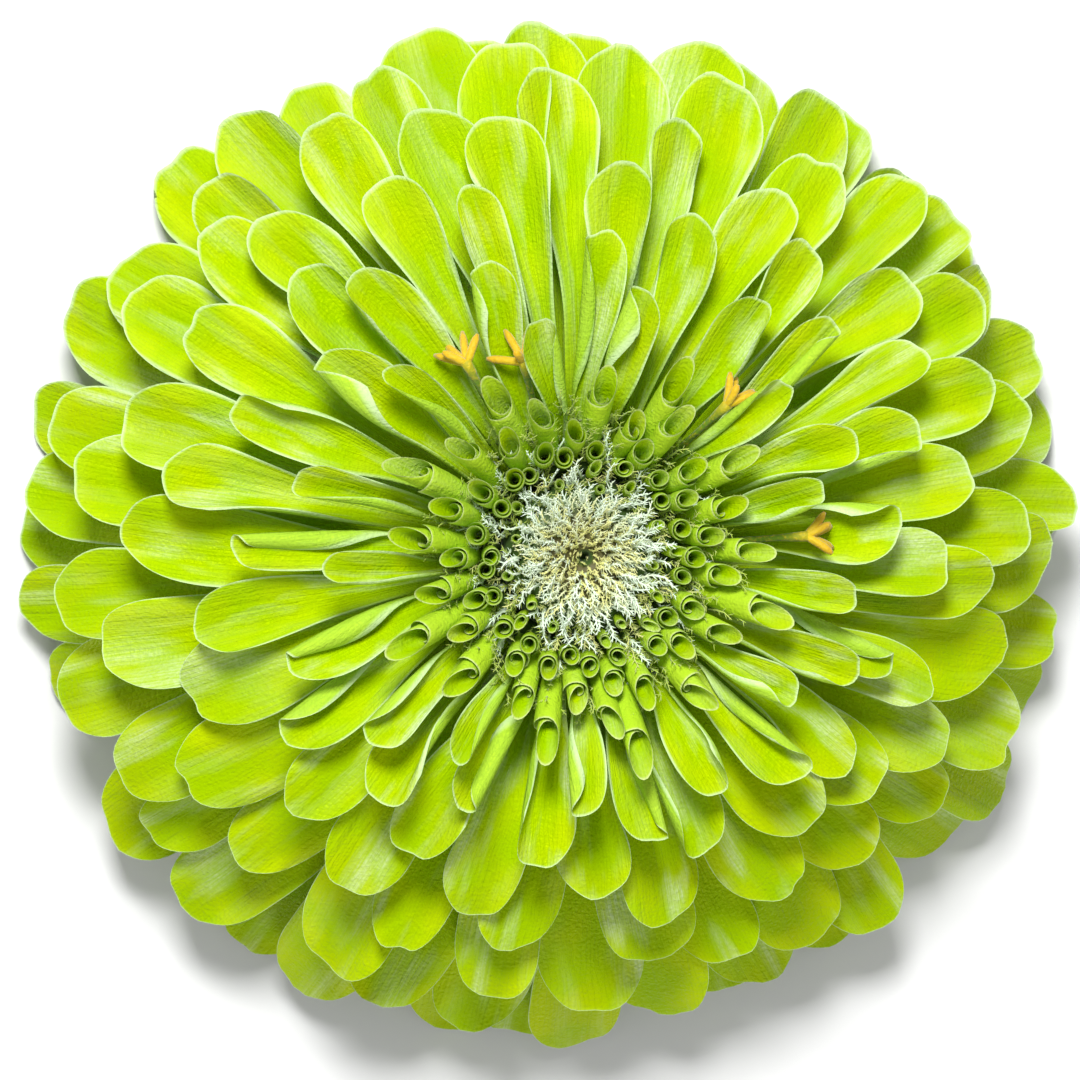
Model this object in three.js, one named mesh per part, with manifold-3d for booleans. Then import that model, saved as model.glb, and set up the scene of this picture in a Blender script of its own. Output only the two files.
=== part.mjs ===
// Queen lime zinnia: one fully double bloom, cut with a short stub of its stem, lying face up.
//
// Millimetres, +Z up. The origin is the centre of the stem's cut end and +Z is the bloom's axis.
// +Y is the side that faces the light. From the surface upward: stem stub, involucre (the green
// cup of overlapping bracts), the receptacle with its ray petals in spiral layers, flat outside
// and rolled to quills inside, the fringed bracts of the disc, and four yellow disc florets that
// stand among the inner petals.

import * as THREE from 'three';
import { mergeVertices } from 'three/addons/utils/BufferGeometryUtils.js';
import Module from 'manifold-3d';

const wasm = await Module();
wasm.setup();

// Driving dimensions, in millimetres.

const TAU = Math.PI * 2;
const DEGREE = Math.PI / 180;
const GOLDEN_ANGLE = Math.PI * (3 - Math.sqrt(5));

const FLORET_ROOM = 0.36; // how far the petals are cut clear of each disc floret
const SLIVER = 0.05; // edges shorter than this are closed up after a join
const CLEANING_PASSES = 4; // how often a joined body is cleaned of slivers and touching folds
const WELD = 1e-3; // vertices nearer than this are one

const STEM = {
  height: 7.5,
  sink: 1.0, // how far it runs on inside the cup
  // Each ring of the stalk: radius, and height as a share of the stalk's.
  rings: [[3.1, 0], [2.9, 0.4], [3.285, 0.75], [4.0, 1]],
  ribs: 9,
  ribDepth: 0.16,
  sides: 27,
};

const INVOLUCRE = {
  bottom: STEM.height,
  top: 16,
  profile: [[4.2, 7.5], [6.4, 8.9], [8.3, 11.0], [9.4, 13.4], [9.9, 16]], // radius, height
  sides: 26,
  rows: 3,
  bractsPerRow: 13,
  bractRoots: [0.0, 0.27, 0.54], // share of the cup's profile where each row starts
  bractReach: 0.5, // share of the profile that a bract covers
  bractHalfWidth: [1.1, 1.7, 2.0],
  bractWidest: 0.32, // share of its length where a bract is widest
  bractRows: [0, 0.62, 1],
  bractThickness: 0.7,
  bractLift: [-0.5, 1.05], // how far its root is sunk in the cup, and how far its tip stands off
  bractShuffle: 0.04, // how far a bract strays round the cup, in radians
};

const RECEPTACLE = {
  bottom: INVOLUCRE.top,
  top: 28,
  bottomRadius: 9.5,
  topRadius: 9.1,
  collarTop: 29.2, // the low wall that the quills are set in
  collarOuter: 8.9,
  collarInner: 7.0,
  sides: 24,
};

const RAY = {
  count: 132,
  outerReach: 44.4, // distance of the lowest petals' tips from the axis
  innerReach: 19.6,
  lowestTip: 0.25,
  highestTip: 34.6,
  lowestRoot: 18.3,
  highestRoot: 27.4,
  tipPath: 0.8, // power by which the tips' height rises going in
  rootRadius: 8.6,
  spread: [1.65, 0.4], // how late the reach falls off going in, and how that changes round
  spreadAzimuth: 125, // side on which the petals spread widest, in degrees
  oval: 0.02, // how much further petals reach along X, and less far along Y, as a share
  outerHalfWidth: 4.15,
  innerHalfWidth: 2.15,
  widthPath: 1.4,
  clawShare: 0.28, // width of the claw beside the blade's
  clawOpens: [0.2, 0.9], // shares of the length between which it widens to the blade
  tipRound: 1.45, // length of the rounded end, in half widths
  tipPower: 2.15,
  thickness: 0.74,
  bend: [46 * DEGREE, 24 * DEGREE], // outermost and innermost
  flick: [12 * DEGREE, 8 * DEGREE], // upward turn of the tip
  flickFrom: 0.74,
  rootRoll: [70 * DEGREE, 190 * DEGREE], // angle that the cross-section turns through
  rootRollPath: 3,
  tipRoll: [46 * DEGREE, 135 * DEGREE],
  tipRollPath: 4,
  rollSettles: 0.85, // share of the length where the roll is that of the tip
  twist: 7 * DEGREE, // most that a blade turns about its midline
  sweep: 0.05, // most that its tip swings aside, as a share of its length
  // How much each measure strays from petal to petal, as a share of itself where not said.
  strays: {
    azimuth: 2.4, // degrees
    reach: 0.02,
    tipHeight: 0.7, // mm, only up
    halfWidth: 0.11,
    bend: 0.15,
    flick: 1.2,
    tipRoll: 0.25,
  },
  partsAt: [0.78, 0.9], // shares of the spiral over which petals start to part at the florets
  rows: [0, 0.42, 0.66], // rows of points along the blade, up to its rounded end
  endRows: [0, 0.66, 0.96], // rows along the rounded end
  columns: [-1, 0, 1], // and across the blade
  gutterColumns: [-1, -0.55, 0, 0.55, 1], // the same for a blade rolled to a gutter
  gutterRoll: 130 * DEGREE, // a blade rolled more than this on average is a gutter
};

const QUILL = {
  count: 64,
  outerReach: 16.6,
  innerReach: 7.9,
  outerTip: 34.6,
  innerTip: 32.2,
  outerRootRadius: 8.4,
  innerRootRadius: 7.7,
  rootHeight: 28.0,
  outerRadius: 1.46,
  innerRadius: 0.82,
  reachPath: 1.75,
  radiusPath: 0.8,
  sides: [6, 5], // outer and inner quills
  scroll: 0.2, // share of the radius that one turn of the roll takes up
  rootShare: 0.6, // size of the root, of the bore and of the bore's floor beside the mouth
  boreShare: 0.6,
  floorShare: 0.42,
  boreDepth: 2.4,
  slant: 0.7, // how far the mouth leans, in radii
  partsBy: 0.7, // how strongly outer quills part at the florets
  partsAt: [0.15, 0.4], // shares of the spiral over which they stop parting
  strays: { azimuth: 3, reach: 0.3, tipHeight: 0.4, radius: 0.06, sideways: 0.4 },
};

const DISC = {
  bottom: RECEPTACLE.top,
  profile: [[6.6, 28], [6.4, 29.3], [5.2, 30.6], [3.2, 31.3], [1.2, 31.4], [0.5, 30.4]],
  pit: 30.2,
  sides: 20,
  bracts: 160,
  bare: 8, // how many bracts' room the pit takes up
  spread: 5.9,
  crown: 31.3, // height of the dome's surface at the pit's rim, and at the outer bracts
  edge: 29.4,
  bractSink: 0.9,
  bractLength: 2.0,
  bractStray: 0.3,
  bractRadius: 0.48,
  lean: 20 * DEGREE,
  leanStray: 0.2, // radians
};

// Each floret: azimuth in degrees, distance of its star from the axis, height of its star.
const FLORETS = [
  [121.5, 18.7, 31.9],
  [107.9, 16.9, 32.4],
  [47.2, 16.9, 32.2],
  [5.3, 18.2, 31.9],
];
const FLORET = {
  rootRadius: 8.9,
  rootHeight: 26.6,
  tubeRadius: 0.5,
  tubeShare: 0.8, // share of the way to the star where the throat starts to open
  throatRadius: 0.72,
  lobes: 5,
  lobeRise: 0.75, // how steeply the lobes stand up from the star
  lobeSink: 0.45, // how far their feet are sunk in the throat
  // Each section of a lobe: distance along it, half its width, half its thickness.
  lobe: [[0, 0.24, 0.21], [0.825, 0.4, 0.3], [2.1, 0.12, 0.12]],
  parting: 11, // degrees each side within which inner petals are pushed away
};

const FINISH = {
  stem: { color: 0x75a037, roughness: 0.62, metalness: 0 },
  petal: { color: 0xb2dc1c, roughness: 0.48, metalness: 0 },
  bract: { color: 0xdfe8c8, roughness: 0.7, metalness: 0 },
  floret: { color: 0xf2b51d, roughness: 0.55, metalness: 0 },
};

const mix = (a, b, t) => a + (b - a) * t;
const clamp01 = (x) => Math.min(1, Math.max(0, x));
const smooth = (from, to, x) => {
  const s = clamp01((x - from) / (to - from));
  return s * s * (3 - 2 * s);
};

/** A repeatable draw between -1 and 1 for the numbered thing, one for each channel. */
const draw = (index, channel) => {
  const wave = Math.sin(index * 12.9898 + channel * 78.233) * 43758.5453;
  return 2 * (wave - Math.floor(wave)) - 1;
};

/** The angle from b to a, between -180 and 180 degrees. */
const turnBetween = (a, b) => ((((a - b) % 360) + 540) % 360) - 180;

/** An indexed geometry from points and triangles of point numbers. */
function geometryOf(points, triangles) {
  const geometry = new THREE.BufferGeometry();
  geometry.setAttribute(
    'position',
    new THREE.Float32BufferAttribute(points.flatMap((p) => [p.x, p.y, p.z]), 3),
  );
  geometry.setIndex(triangles.flat());
  return geometry;
}

/** The closed geometry as a solid that can be joined and cut. */
function solidOf(geometry) {
  const bare = geometry.clone();
  bare.deleteAttribute('normal');
  bare.deleteAttribute('uv');
  const merged = mergeVertices(bare, WELD / 100);
  const corners = merged.index.array;
  const kept = [];
  for (let k = 0; k < corners.length; k += 3) {
    const [a, b, c] = corners.subarray(k, k + 3);
    if (a !== b && b !== c && c !== a) {
      kept.push(a, b, c);
    }
  }
  return new wasm.Manifold(new wasm.Mesh({
    numProp: 3,
    vertProperties: new Float32Array(merged.attributes.position.array),
    triVerts: new Uint32Array(kept),
  }));
}

/** A solid's surface as an indexed geometry, with its vertices on a grid of the weld's size. */
function skinOf(solid) {
  const { vertProperties, triVerts } = solid.getMesh();
  const snapped = vertProperties.map((x) => Math.round(x / WELD) * WELD);
  const geometry = new THREE.BufferGeometry();
  geometry.setAttribute('position', new THREE.Float32BufferAttribute(snapped, 3));
  geometry.setIndex(new THREE.Uint32BufferAttribute(triVerts, 1));
  geometry.computeVertexNormals();
  return geometry;
}

/** Where two folds of a skin touch at a vertex, each is drawn a little inward, so they part. */
function partFolds(geometry) {
  const { position, normal } = geometry.attributes;
  const places = new Map();
  const point = new THREE.Vector3();
  for (let k = 0; k < position.count; k += 1) {
    const place = point.fromBufferAttribute(position, k).toArray()
      .map((x) => Math.round(x / WELD))
      .join();
    places.set(place, [...(places.get(place) ?? []), k]);
  }
  [...places.values()].filter((shared) => shared.length > 1).flat().forEach((k) => {
    const inward = new THREE.Vector3().fromBufferAttribute(normal, k).multiplyScalar(-SLIVER / 2);
    point.fromBufferAttribute(position, k).add(inward);
    position.setXYZ(k, ...point.toArray().map((x) => Math.round(x / WELD) * WELD));
  });
  return geometry;
}

/** The largest body of a union: loose scraps are dropped and sealed hollows are filled. */
function mainBody(solid) {
  let body = solid;
  for (let pass = 0; pass < CLEANING_PASSES; pass += 1) {
    const skin = partFolds(skinOf(body.asOriginal().simplify(SLIVER)));
    body = solidOf(skin).decompose()
      .reduce((best, other) => (other.volume() > best.volume() ? other : best));
  }
  return body;
}

/** A named mesh of the solid, in one of the finishes. */
function meshOf(name, solid, finish) {
  const mesh = new THREE.Mesh(
    skinOf(solid),
    new THREE.MeshStandardMaterial({ ...finish, flatShading: true }),
  );
  mesh.name = name;
  return mesh;
}

/** A solid of revolution about Z from [radius, height] pairs that run from axis to axis. */
function turned(profile, sides) {
  const outline = profile.map(([radius, height]) => new THREE.Vector2(radius, height));
  const geometry = new THREE.LatheGeometry(outline, sides);
  geometry.rotateX(Math.PI / 2);
  return geometry;
}

/** A closed skin over rings of equally many points, from a first cap to a last cap. */
function loft(rings) {
  const sides = rings[0].length;
  const points = rings.flat();
  const triangles = [];
  for (let ring = 0; ring < rings.length - 1; ring += 1) {
    for (let side = 0; side < sides; side += 1) {
      const a = ring * sides + side;
      const b = ring * sides + ((side + 1) % sides);
      triangles.push([a, b, b + sides], [a, b + sides, a + sides]);
    }
  }
  const last = (rings.length - 1) * sides;
  for (let side = 1; side < sides - 1; side += 1) {
    triangles.push([0, side + 1, side], [last, last + side, last + side + 1]);
  }
  return geometryOf(points, triangles);
}

/**
 * A thin blade: a surface given at fractions along (rows) and across (columns), thick in the
 * middle and brought to a sharp rim. Both faces are split along the same diagonals.
 */
function blade(surface, rows, columns, thickness) {
  const step = 1e-3;
  const points = [];
  const rim = new Map();
  const top = new Map();
  const bottom = new Map();
  const key = (i, j) => i * 100 + j;
  rows.forEach((u, i) => columns.forEach((v, j) => {
    const centre = surface(u, v);
    const onRim = i === 0 || j === 0 || i === rows.length - 1 || j === columns.length - 1;
    if (onRim) {
      rim.set(key(i, j), points.push(centre) - 1);
      return;
    }
    const along = surface(u + step, v).sub(surface(u - step, v));
    const across = surface(u, v + step).sub(surface(u, v - step));
    const offset = along.cross(across).setLength(thickness / 2);
    top.set(key(i, j), points.push(centre.clone().add(offset)) - 1);
    bottom.set(key(i, j), points.push(centre.clone().sub(offset)) - 1);
  }));
  const triangles = [];
  const midRow = (rows.length - 1) / 2;
  const midColumn = (columns.length - 1) / 2;
  for (let i = 0; i < rows.length - 1; i += 1) {
    for (let j = 0; j < columns.length - 1; j += 1) {
      const rising = i < midRow === j < midColumn;
      const cells = rising
        ? [[[i, j], [i + 1, j], [i + 1, j + 1]], [[i, j], [i + 1, j + 1], [i, j + 1]]]
        : [[[i, j], [i + 1, j], [i, j + 1]], [[i + 1, j], [i + 1, j + 1], [i, j + 1]]];
      cells.forEach((cell) => {
        const numbers = (face) => cell.map(([r, c]) => rim.get(key(r, c)) ?? face.get(key(r, c)));
        triangles.push(numbers(top), numbers(bottom).reverse());
      });
    }
  }
  return geometryOf(points, triangles);
}

/** Unit vectors outward, sideways and up at an azimuth about the bloom's axis. */
const compass = (azimuth) => ({
  outward: new THREE.Vector3(Math.cos(azimuth), Math.sin(azimuth), 0),
  sideways: new THREE.Vector3(-Math.sin(azimuth), Math.cos(azimuth), 0),
  up: new THREE.Vector3(0, 0, 1),
});

/** The stub: a ribbed stalk, flat at the cut, that flares into the cup above it. */
function makeStem() {
  const rings = STEM.rings.map(([radius, share]) => [radius, share * STEM.height]);
  const [neckRadius] = rings[rings.length - 1];
  const geometry = turned([
    [0, 0],
    ...rings,
    [neckRadius, STEM.height + STEM.sink],
    [0, STEM.height + STEM.sink],
  ], STEM.sides);
  const position = geometry.attributes.position;
  for (let k = 0; k < position.count; k += 1) {
    const azimuth = Math.atan2(position.getY(k), position.getX(k));
    const radius = Math.hypot(position.getX(k), position.getY(k));
    const ribbed = radius > 0 ? 1 + (STEM.ribDepth * Math.cos(STEM.ribs * azimuth)) / radius : 1;
    position.setXY(k, position.getX(k) * ribbed, position.getY(k) * ribbed);
  }
  return geometry;
}

/** The cup's [radius, height] at a share of its profile, straight on past its rim. */
function cupAt(share) {
  const { profile } = INVOLUCRE;
  const place = share * (profile.length - 1);
  const piece = Math.min(profile.length - 2, Math.max(0, Math.floor(place)));
  const rest = place - piece;
  return [0, 1].map((axis) => mix(profile[piece][axis], profile[piece + 1][axis], rest));
}

/** One rounded bract of the cup, pressed to it, with its tip a little free. */
function makeCupBract(row, number) {
  const { bractRoots, bractReach, bractHalfWidth, bractWidest, bractLift, bractRows } = INVOLUCRE;
  const place = (number + row * 0.5) / INVOLUCRE.bractsPerRow;
  const azimuth = place * TAU + INVOLUCRE.bractShuffle * draw(number, row);
  const { up } = compass(0);
  const surface = (u, v) => {
    const width = Math.sqrt(clamp01(1.05 - (1.4 * (u - bractWidest)) ** 2));
    const [radius, height] = cupAt(bractRoots[row] + bractReach * u);
    const lifted = radius + mix(...bractLift, u ** 0.7);
    const { outward } = compass(azimuth + (v * bractHalfWidth[row] * width) / lifted);
    return outward.multiplyScalar(lifted).addScaledVector(up, height);
  };
  return blade(surface, bractRows, [-1, 0, 1], INVOLUCRE.bractThickness);
}

/** The stem with the cup that it widens into and the cup's three rows of overlapping bracts. */
function makeStemAndInvolucre() {
  const { profile, bottom, top, rows, bractsPerRow } = INVOLUCRE;
  const cup = turned([[0, bottom], ...profile, [0, top]], INVOLUCRE.sides);
  const solids = [solidOf(makeStem()), solidOf(cup)];
  for (let row = 0; row < rows; row += 1) {
    for (let number = 0; number < bractsPerRow; number += 1) {
      solids.push(solidOf(makeCupBract(row, number)));
    }
  }
  return mainBody(wasm.Manifold.union(solids));
}

/** Inner petals part round a yellow floret: the azimuth in degrees, pushed clear of each. */
function parted(azimuth, share) {
  let clear = azimuth;
  FLORETS.forEach(([floretAzimuth]) => {
    const off = turnBetween(clear, floretAzimuth);
    if (Math.abs(off) < share * FLORET.parting) {
      clear = floretAzimuth + Math.sign(off) * (share * FLORET.parting + Math.abs(off)) / 2;
    }
  });
  return clear;
}

/**
 * The measures of a numbered ray petal. Petals follow the golden angle from the outermost, and
 * reach, height, width, bend and roll all follow one share t, 0 at the rim and 1 by the quills.
 */
function rayPetal(number) {
  const { strays } = RAY;
  const t = number / (RAY.count - 1);
  const stray = (channel, size) => 1 + size * draw(number, channel);
  const spiral = (number * GOLDEN_ANGLE) / DEGREE + strays.azimuth * draw(number, 3);
  const azimuth = parted(spiral, smooth(...RAY.partsAt, t));
  const fall = RAY.spread[0] + RAY.spread[1] * Math.cos((azimuth - RAY.spreadAzimuth) * DEGREE);
  const oval = 1 + RAY.oval * Math.cos(2 * azimuth * DEGREE);
  const reach = mix(RAY.outerReach, RAY.innerReach, t ** fall) * stray(1, strays.reach) * oval;
  const tipHeight = mix(RAY.lowestTip, RAY.highestTip, t ** RAY.tipPath);
  const halfWidth = mix(RAY.outerHalfWidth, RAY.innerHalfWidth, t ** RAY.widthPath);
  return {
    azimuth: azimuth * DEGREE,
    root: new THREE.Vector2(RAY.rootRadius, mix(RAY.lowestRoot, RAY.highestRoot, t)),
    tip: new THREE.Vector2(reach, tipHeight + strays.tipHeight * (1 + draw(number, 2))),
    halfWidth: halfWidth * stray(4, strays.halfWidth),
    bend: mix(...RAY.bend, t) * stray(5, strays.bend),
    flick: mix(...RAY.flick, t) * stray(6, strays.flick),
    rootRoll: mix(...RAY.rootRoll, t ** RAY.rootRollPath),
    tipRoll: mix(...RAY.tipRoll, t ** RAY.tipRollPath) * stray(7, strays.tipRoll),
    twist: RAY.twist * draw(number, 8),
    sweep: RAY.sweep * draw(number, 9),
  };
}

/** How far the midline's direction is above the straight way from root to tip, at share u. */
const bendAt = (petal, u) => petal.bend * (0.5 - u)
  + petal.flick * Math.max(0, (u - RAY.flickFrom) / (1 - RAY.flickFrom)) ** 2;

/** The midline at share u for a petal of unit length, by summing its direction along it. */
function unitMidline(petal, u) {
  const steps = 12;
  const place = new THREE.Vector2();
  for (let k = 0; k < steps; k += 1) {
    const angle = bendAt(petal, (u * (k + 0.5)) / steps);
    place.x += (Math.cos(angle) * u) / steps;
    place.y += (Math.sin(angle) * u) / steps;
  }
  return place;
}

/** Half width at share u: a narrow claw that widens to the blade and closes in a round end. */
function halfWidthAt(petal, endStart, u) {
  const claw = mix(RAY.clawShare, 1, smooth(...RAY.clawOpens, u));
  const intoEnd = clamp01((u - endStart) / (1 - endStart));
  return petal.halfWidth * claw * (1 - intoEnd ** RAY.tipPower) ** (1 / RAY.tipPower);
}

/**
 * The petal's surface, as a point for share u along and v across (-1 to 1), and the share where
 * its rounded end starts. The cross-section is an arc with its rims raised, and it turns about
 * the midline by the twist.
 */
function petalSurface(petal) {
  const chord = petal.tip.clone().sub(petal.root);
  const end = unitMidline(petal, 1);
  const length = chord.length() / end.length();
  const tilt = chord.angle() - end.angle();
  const endStart = 1 - (RAY.tipRound * petal.halfWidth) / length;
  const { outward, sideways, up } = compass(petal.azimuth);
  const surface = (u, v) => {
    const place = unitMidline(petal, u)
      .multiplyScalar(length)
      .rotateAround(new THREE.Vector2(), tilt)
      .add(petal.root);
    const rise = bendAt(petal, u) + tilt;
    const halfWidth = halfWidthAt(petal, endStart, u);
    const roll = mix(petal.rootRoll, petal.tipRoll, smooth(0, RAY.rollSettles, u));
    const radius = Math.max(halfWidth, SLIVER) / (roll / 2);
    const across = radius * Math.sin((v * roll) / 2);
    const above = radius * (1 - Math.cos((v * roll) / 2));
    const twist = petal.twist * u;
    const side = across * Math.cos(twist) - above * Math.sin(twist) + petal.sweep * length * u * u;
    const normal = across * Math.sin(twist) + above * Math.cos(twist);
    return new THREE.Vector3()
      .addScaledVector(outward, place.x - normal * Math.sin(rise))
      .addScaledVector(up, place.y + normal * Math.cos(rise))
      .addScaledVector(sideways, side);
  };
  return { surface, endStart };
}

/** A flat or gutter-shaped ray petal as a blade, its claw sunk in the receptacle. */
function makeRayPetal(number) {
  const petal = rayPetal(number);
  const { surface, endStart } = petalSurface(petal);
  const rows = [...RAY.rows, ...RAY.endRows.map((share) => mix(endStart, 1, share))];
  const isGutter = (petal.tipRoll + petal.rootRoll) / 2 > RAY.gutterRoll;
  return blade(surface, rows, isGutter ? RAY.gutterColumns : RAY.columns, RAY.thickness);
}

/** A young petal still rolled to a tube, with a scroll-shaped, slanted and open mouth. */
function makeQuill(number) {
  const { strays } = QUILL;
  const s = number / (QUILL.count - 1);
  const spiral = ((RAY.count + number) * GOLDEN_ANGLE) / DEGREE + strays.azimuth * draw(number, 11);
  const azimuth = parted(spiral, QUILL.partsBy * (1 - smooth(...QUILL.partsAt, s))) * DEGREE;
  const { outward, sideways, up } = compass(azimuth);
  const reach = mix(QUILL.innerReach, QUILL.outerReach, (1 - s) ** QUILL.reachPath);
  const height = mix(QUILL.outerTip, QUILL.innerTip, s) + strays.tipHeight * draw(number, 13);
  const fullRadius = mix(QUILL.outerRadius, QUILL.innerRadius, s ** QUILL.radiusPath);
  const radius = fullRadius * (1 + strays.radius * draw(number, 14));
  const root = outward.clone()
    .multiplyScalar(mix(QUILL.outerRootRadius, QUILL.innerRootRadius, s))
    .addScaledVector(up, QUILL.rootHeight);
  const tip = outward.clone()
    .multiplyScalar(reach + strays.reach * draw(number, 12))
    .addScaledVector(up, height)
    .addScaledVector(sideways, strays.sideways * draw(number, 15));
  const axis = tip.clone().sub(root).normalize();
  const side = axis.clone().cross(outward).normalize();
  const front = side.clone().cross(axis);
  const seam = TAU * draw(number, 16);
  const sides = QUILL.sides[Math.round(s)];
  const ring = (along, size) => Array.from({ length: sides }, (_, k) => {
    const angle = (k / sides) * TAU;
    const wound = radius * size * (1 - (QUILL.scroll * k) / sides);
    const mouth = along === 1 ? QUILL.slant * radius * Math.cos(angle) : 0;
    return root.clone().lerp(tip, along)
      .addScaledVector(axis, mouth)
      .addScaledVector(front, wound * Math.cos(angle + seam))
      .addScaledVector(side, wound * Math.sin(angle + seam));
  });
  const floor = 1 - QUILL.boreDepth / tip.distanceTo(root);
  return loft([
    ring(0, QUILL.rootShare),
    ring(1, 1),
    ring(1, QUILL.boreShare),
    ring(floor, QUILL.floorShare),
  ]);
}

/** The receptacle's solid core with the low wall that the quills are set in. */
function makeReceptacle() {
  const { bottom, top, bottomRadius, topRadius } = RECEPTACLE;
  const { collarTop, collarOuter, collarInner, sides } = RECEPTACLE;
  return turned([
    [0, bottom],
    [bottomRadius, bottom],
    [topRadius, top],
    [collarOuter, collarTop],
    [collarInner, collarTop],
    [collarInner, top],
    [0, top],
  ], sides);
}

/** One bract of the disc: a slim three-sided spike that leans outward, more so further out. */
function makeDiscBract(number) {
  const share = Math.sqrt((number + DISC.bare) / (DISC.bracts + DISC.bare));
  const { outward, sideways, up } = compass(number * GOLDEN_ANGLE);
  const lean = DISC.lean * share + DISC.leanStray * draw(number, 21);
  const axis = outward.clone().multiplyScalar(Math.sin(lean)).addScaledVector(up, Math.cos(lean));
  const height = mix(DISC.crown, DISC.edge, share ** 3) - DISC.bractSink;
  const root = outward.clone().multiplyScalar(DISC.spread * share).addScaledVector(up, height);
  const length = DISC.bractSink + DISC.bractLength * (1 + DISC.bractStray * draw(number, 22));
  const turn = TAU * draw(number, 23);
  const front = sideways.clone().cross(axis);
  const foot = [0, 1, 2].map((k) => root.clone()
    .addScaledVector(sideways, DISC.bractRadius * Math.cos(turn + (k / 3) * TAU))
    .addScaledVector(front, -DISC.bractRadius * Math.sin(turn + (k / 3) * TAU)));
  const peak = root.clone().addScaledVector(axis, length);
  return geometryOf([...foot, peak], [[0, 2, 1], [0, 1, 3], [1, 2, 3], [2, 0, 3]]);
}

/** The disc: a low dome with a pit in the middle, covered in narrow pointed bracts. */
function makeDisc() {
  const dome = turned([[0, DISC.bottom], ...DISC.profile, [0, DISC.pit]], DISC.sides);
  const solids = [solidOf(dome)];
  for (let number = 0; number < DISC.bracts; number += 1) {
    solids.push(solidOf(makeDiscBract(number)));
  }
  return mainBody(wasm.Manifold.union(solids));
}

/** A yellow disc floret, a slim tube that opens in a star of lobes, made larger by the swell. */
function makeFloret([azimuth, reach, height], swell = 0) {
  const { lobes, tubeRadius, throatRadius } = FLORET;
  const { outward, sideways, up } = compass(azimuth * DEGREE);
  const root = outward.clone()
    .multiplyScalar(FLORET.rootRadius)
    .addScaledVector(up, FLORET.rootHeight);
  const star = outward.clone().multiplyScalar(reach).addScaledVector(up, height);
  const axis = star.clone().sub(root).normalize();
  const front = sideways.clone().cross(axis);
  const around = (k) => sideways.clone()
    .multiplyScalar(Math.cos((k / lobes) * TAU))
    .addScaledVector(front, -Math.sin((k / lobes) * TAU));
  const ring = (centre, radius) => Array.from({ length: lobes }, (_, k) => (
    centre.clone().addScaledVector(around(k), radius + swell)));
  const solids = [solidOf(loft([
    ring(root.clone().addScaledVector(axis, -swell), tubeRadius),
    ring(root.clone().lerp(star, FLORET.tubeShare), tubeRadius),
    ring(star, throatRadius),
  ]))];
  const foot = star.clone().addScaledVector(axis, -FLORET.lobeSink - swell);
  for (let k = 0; k < lobes; k += 1) {
    const direction = around(k).addScaledVector(axis, FLORET.lobeRise).normalize();
    const across = direction.clone().cross(axis).normalize();
    const thick = across.clone().cross(direction);
    const sections = FLORET.lobe.map(([along, halfWidth, halfThickness], step) => {
      const centre = foot.clone().addScaledVector(direction, along + step * swell);
      return [[1, 0], [0, 1], [-1, 0], [0, -1]].map(([x, y]) => centre.clone()
        .addScaledVector(across, -x * (halfWidth + swell))
        .addScaledVector(thick, y * (halfThickness + swell)));
    });
    solids.push(solidOf(loft(sections)));
  }
  return wasm.Manifold.union(solids);
}

/** The receptacle with every ray petal and quill grown into it, open round the florets. */
function makePetals() {
  const solids = [solidOf(makeReceptacle())];
  for (let number = 0; number < RAY.count; number += 1) {
    solids.push(solidOf(makeRayPetal(number)));
  }
  for (let number = 0; number < QUILL.count; number += 1) {
    solids.push(solidOf(makeQuill(number)));
  }
  const room = wasm.Manifold.union(FLORETS.map((place) => makeFloret(place, FLORET_ROOM)));
  return mainBody(wasm.Manifold.union(solids).subtract(room));
}

const zinnia = new THREE.Group();
zinnia.name = 'queen_lime_zinnia';
zinnia.add(
  meshOf('stem_and_involucre', makeStemAndInvolucre(), FINISH.stem),
  meshOf('ray_petals', makePetals(), FINISH.petal),
  meshOf('disc_bracts', makeDisc(), FINISH.bract),
);
FLORETS.forEach((place, k) => {
  zinnia.add(meshOf(`disc_floret_${k + 1}`, mainBody(makeFloret(place)), FINISH.floret));
});

export default zinnia;
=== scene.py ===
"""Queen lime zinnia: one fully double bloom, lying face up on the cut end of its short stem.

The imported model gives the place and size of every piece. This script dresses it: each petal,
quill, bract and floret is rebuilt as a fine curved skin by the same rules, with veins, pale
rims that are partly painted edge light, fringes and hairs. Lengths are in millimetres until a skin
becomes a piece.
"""

import logging
import math
from collections.abc import Callable, Sequence
from dataclasses import dataclass, field
from enum import Enum

import bpy
import numpy as np
from mathutils import Matrix, Vector


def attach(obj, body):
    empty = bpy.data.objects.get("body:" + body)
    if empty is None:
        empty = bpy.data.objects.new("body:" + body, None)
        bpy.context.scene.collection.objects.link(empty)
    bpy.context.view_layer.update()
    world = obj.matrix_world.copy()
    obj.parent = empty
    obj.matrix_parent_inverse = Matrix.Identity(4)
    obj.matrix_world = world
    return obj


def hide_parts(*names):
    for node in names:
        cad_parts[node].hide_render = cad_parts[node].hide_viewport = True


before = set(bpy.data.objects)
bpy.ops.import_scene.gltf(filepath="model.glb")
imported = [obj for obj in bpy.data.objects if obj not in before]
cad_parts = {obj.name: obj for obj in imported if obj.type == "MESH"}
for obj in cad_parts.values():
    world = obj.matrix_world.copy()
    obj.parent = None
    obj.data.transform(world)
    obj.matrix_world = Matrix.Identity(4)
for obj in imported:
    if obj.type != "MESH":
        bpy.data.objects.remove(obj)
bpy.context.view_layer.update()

LOG = logging.getLogger("zinnia")
Array = np.ndarray
MM = 0.001
TAU = 2 * math.pi
DEGREE = math.pi / 180
GOLDEN_ANGLE = math.pi * (3 - math.sqrt(5))


# Small maths


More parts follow.
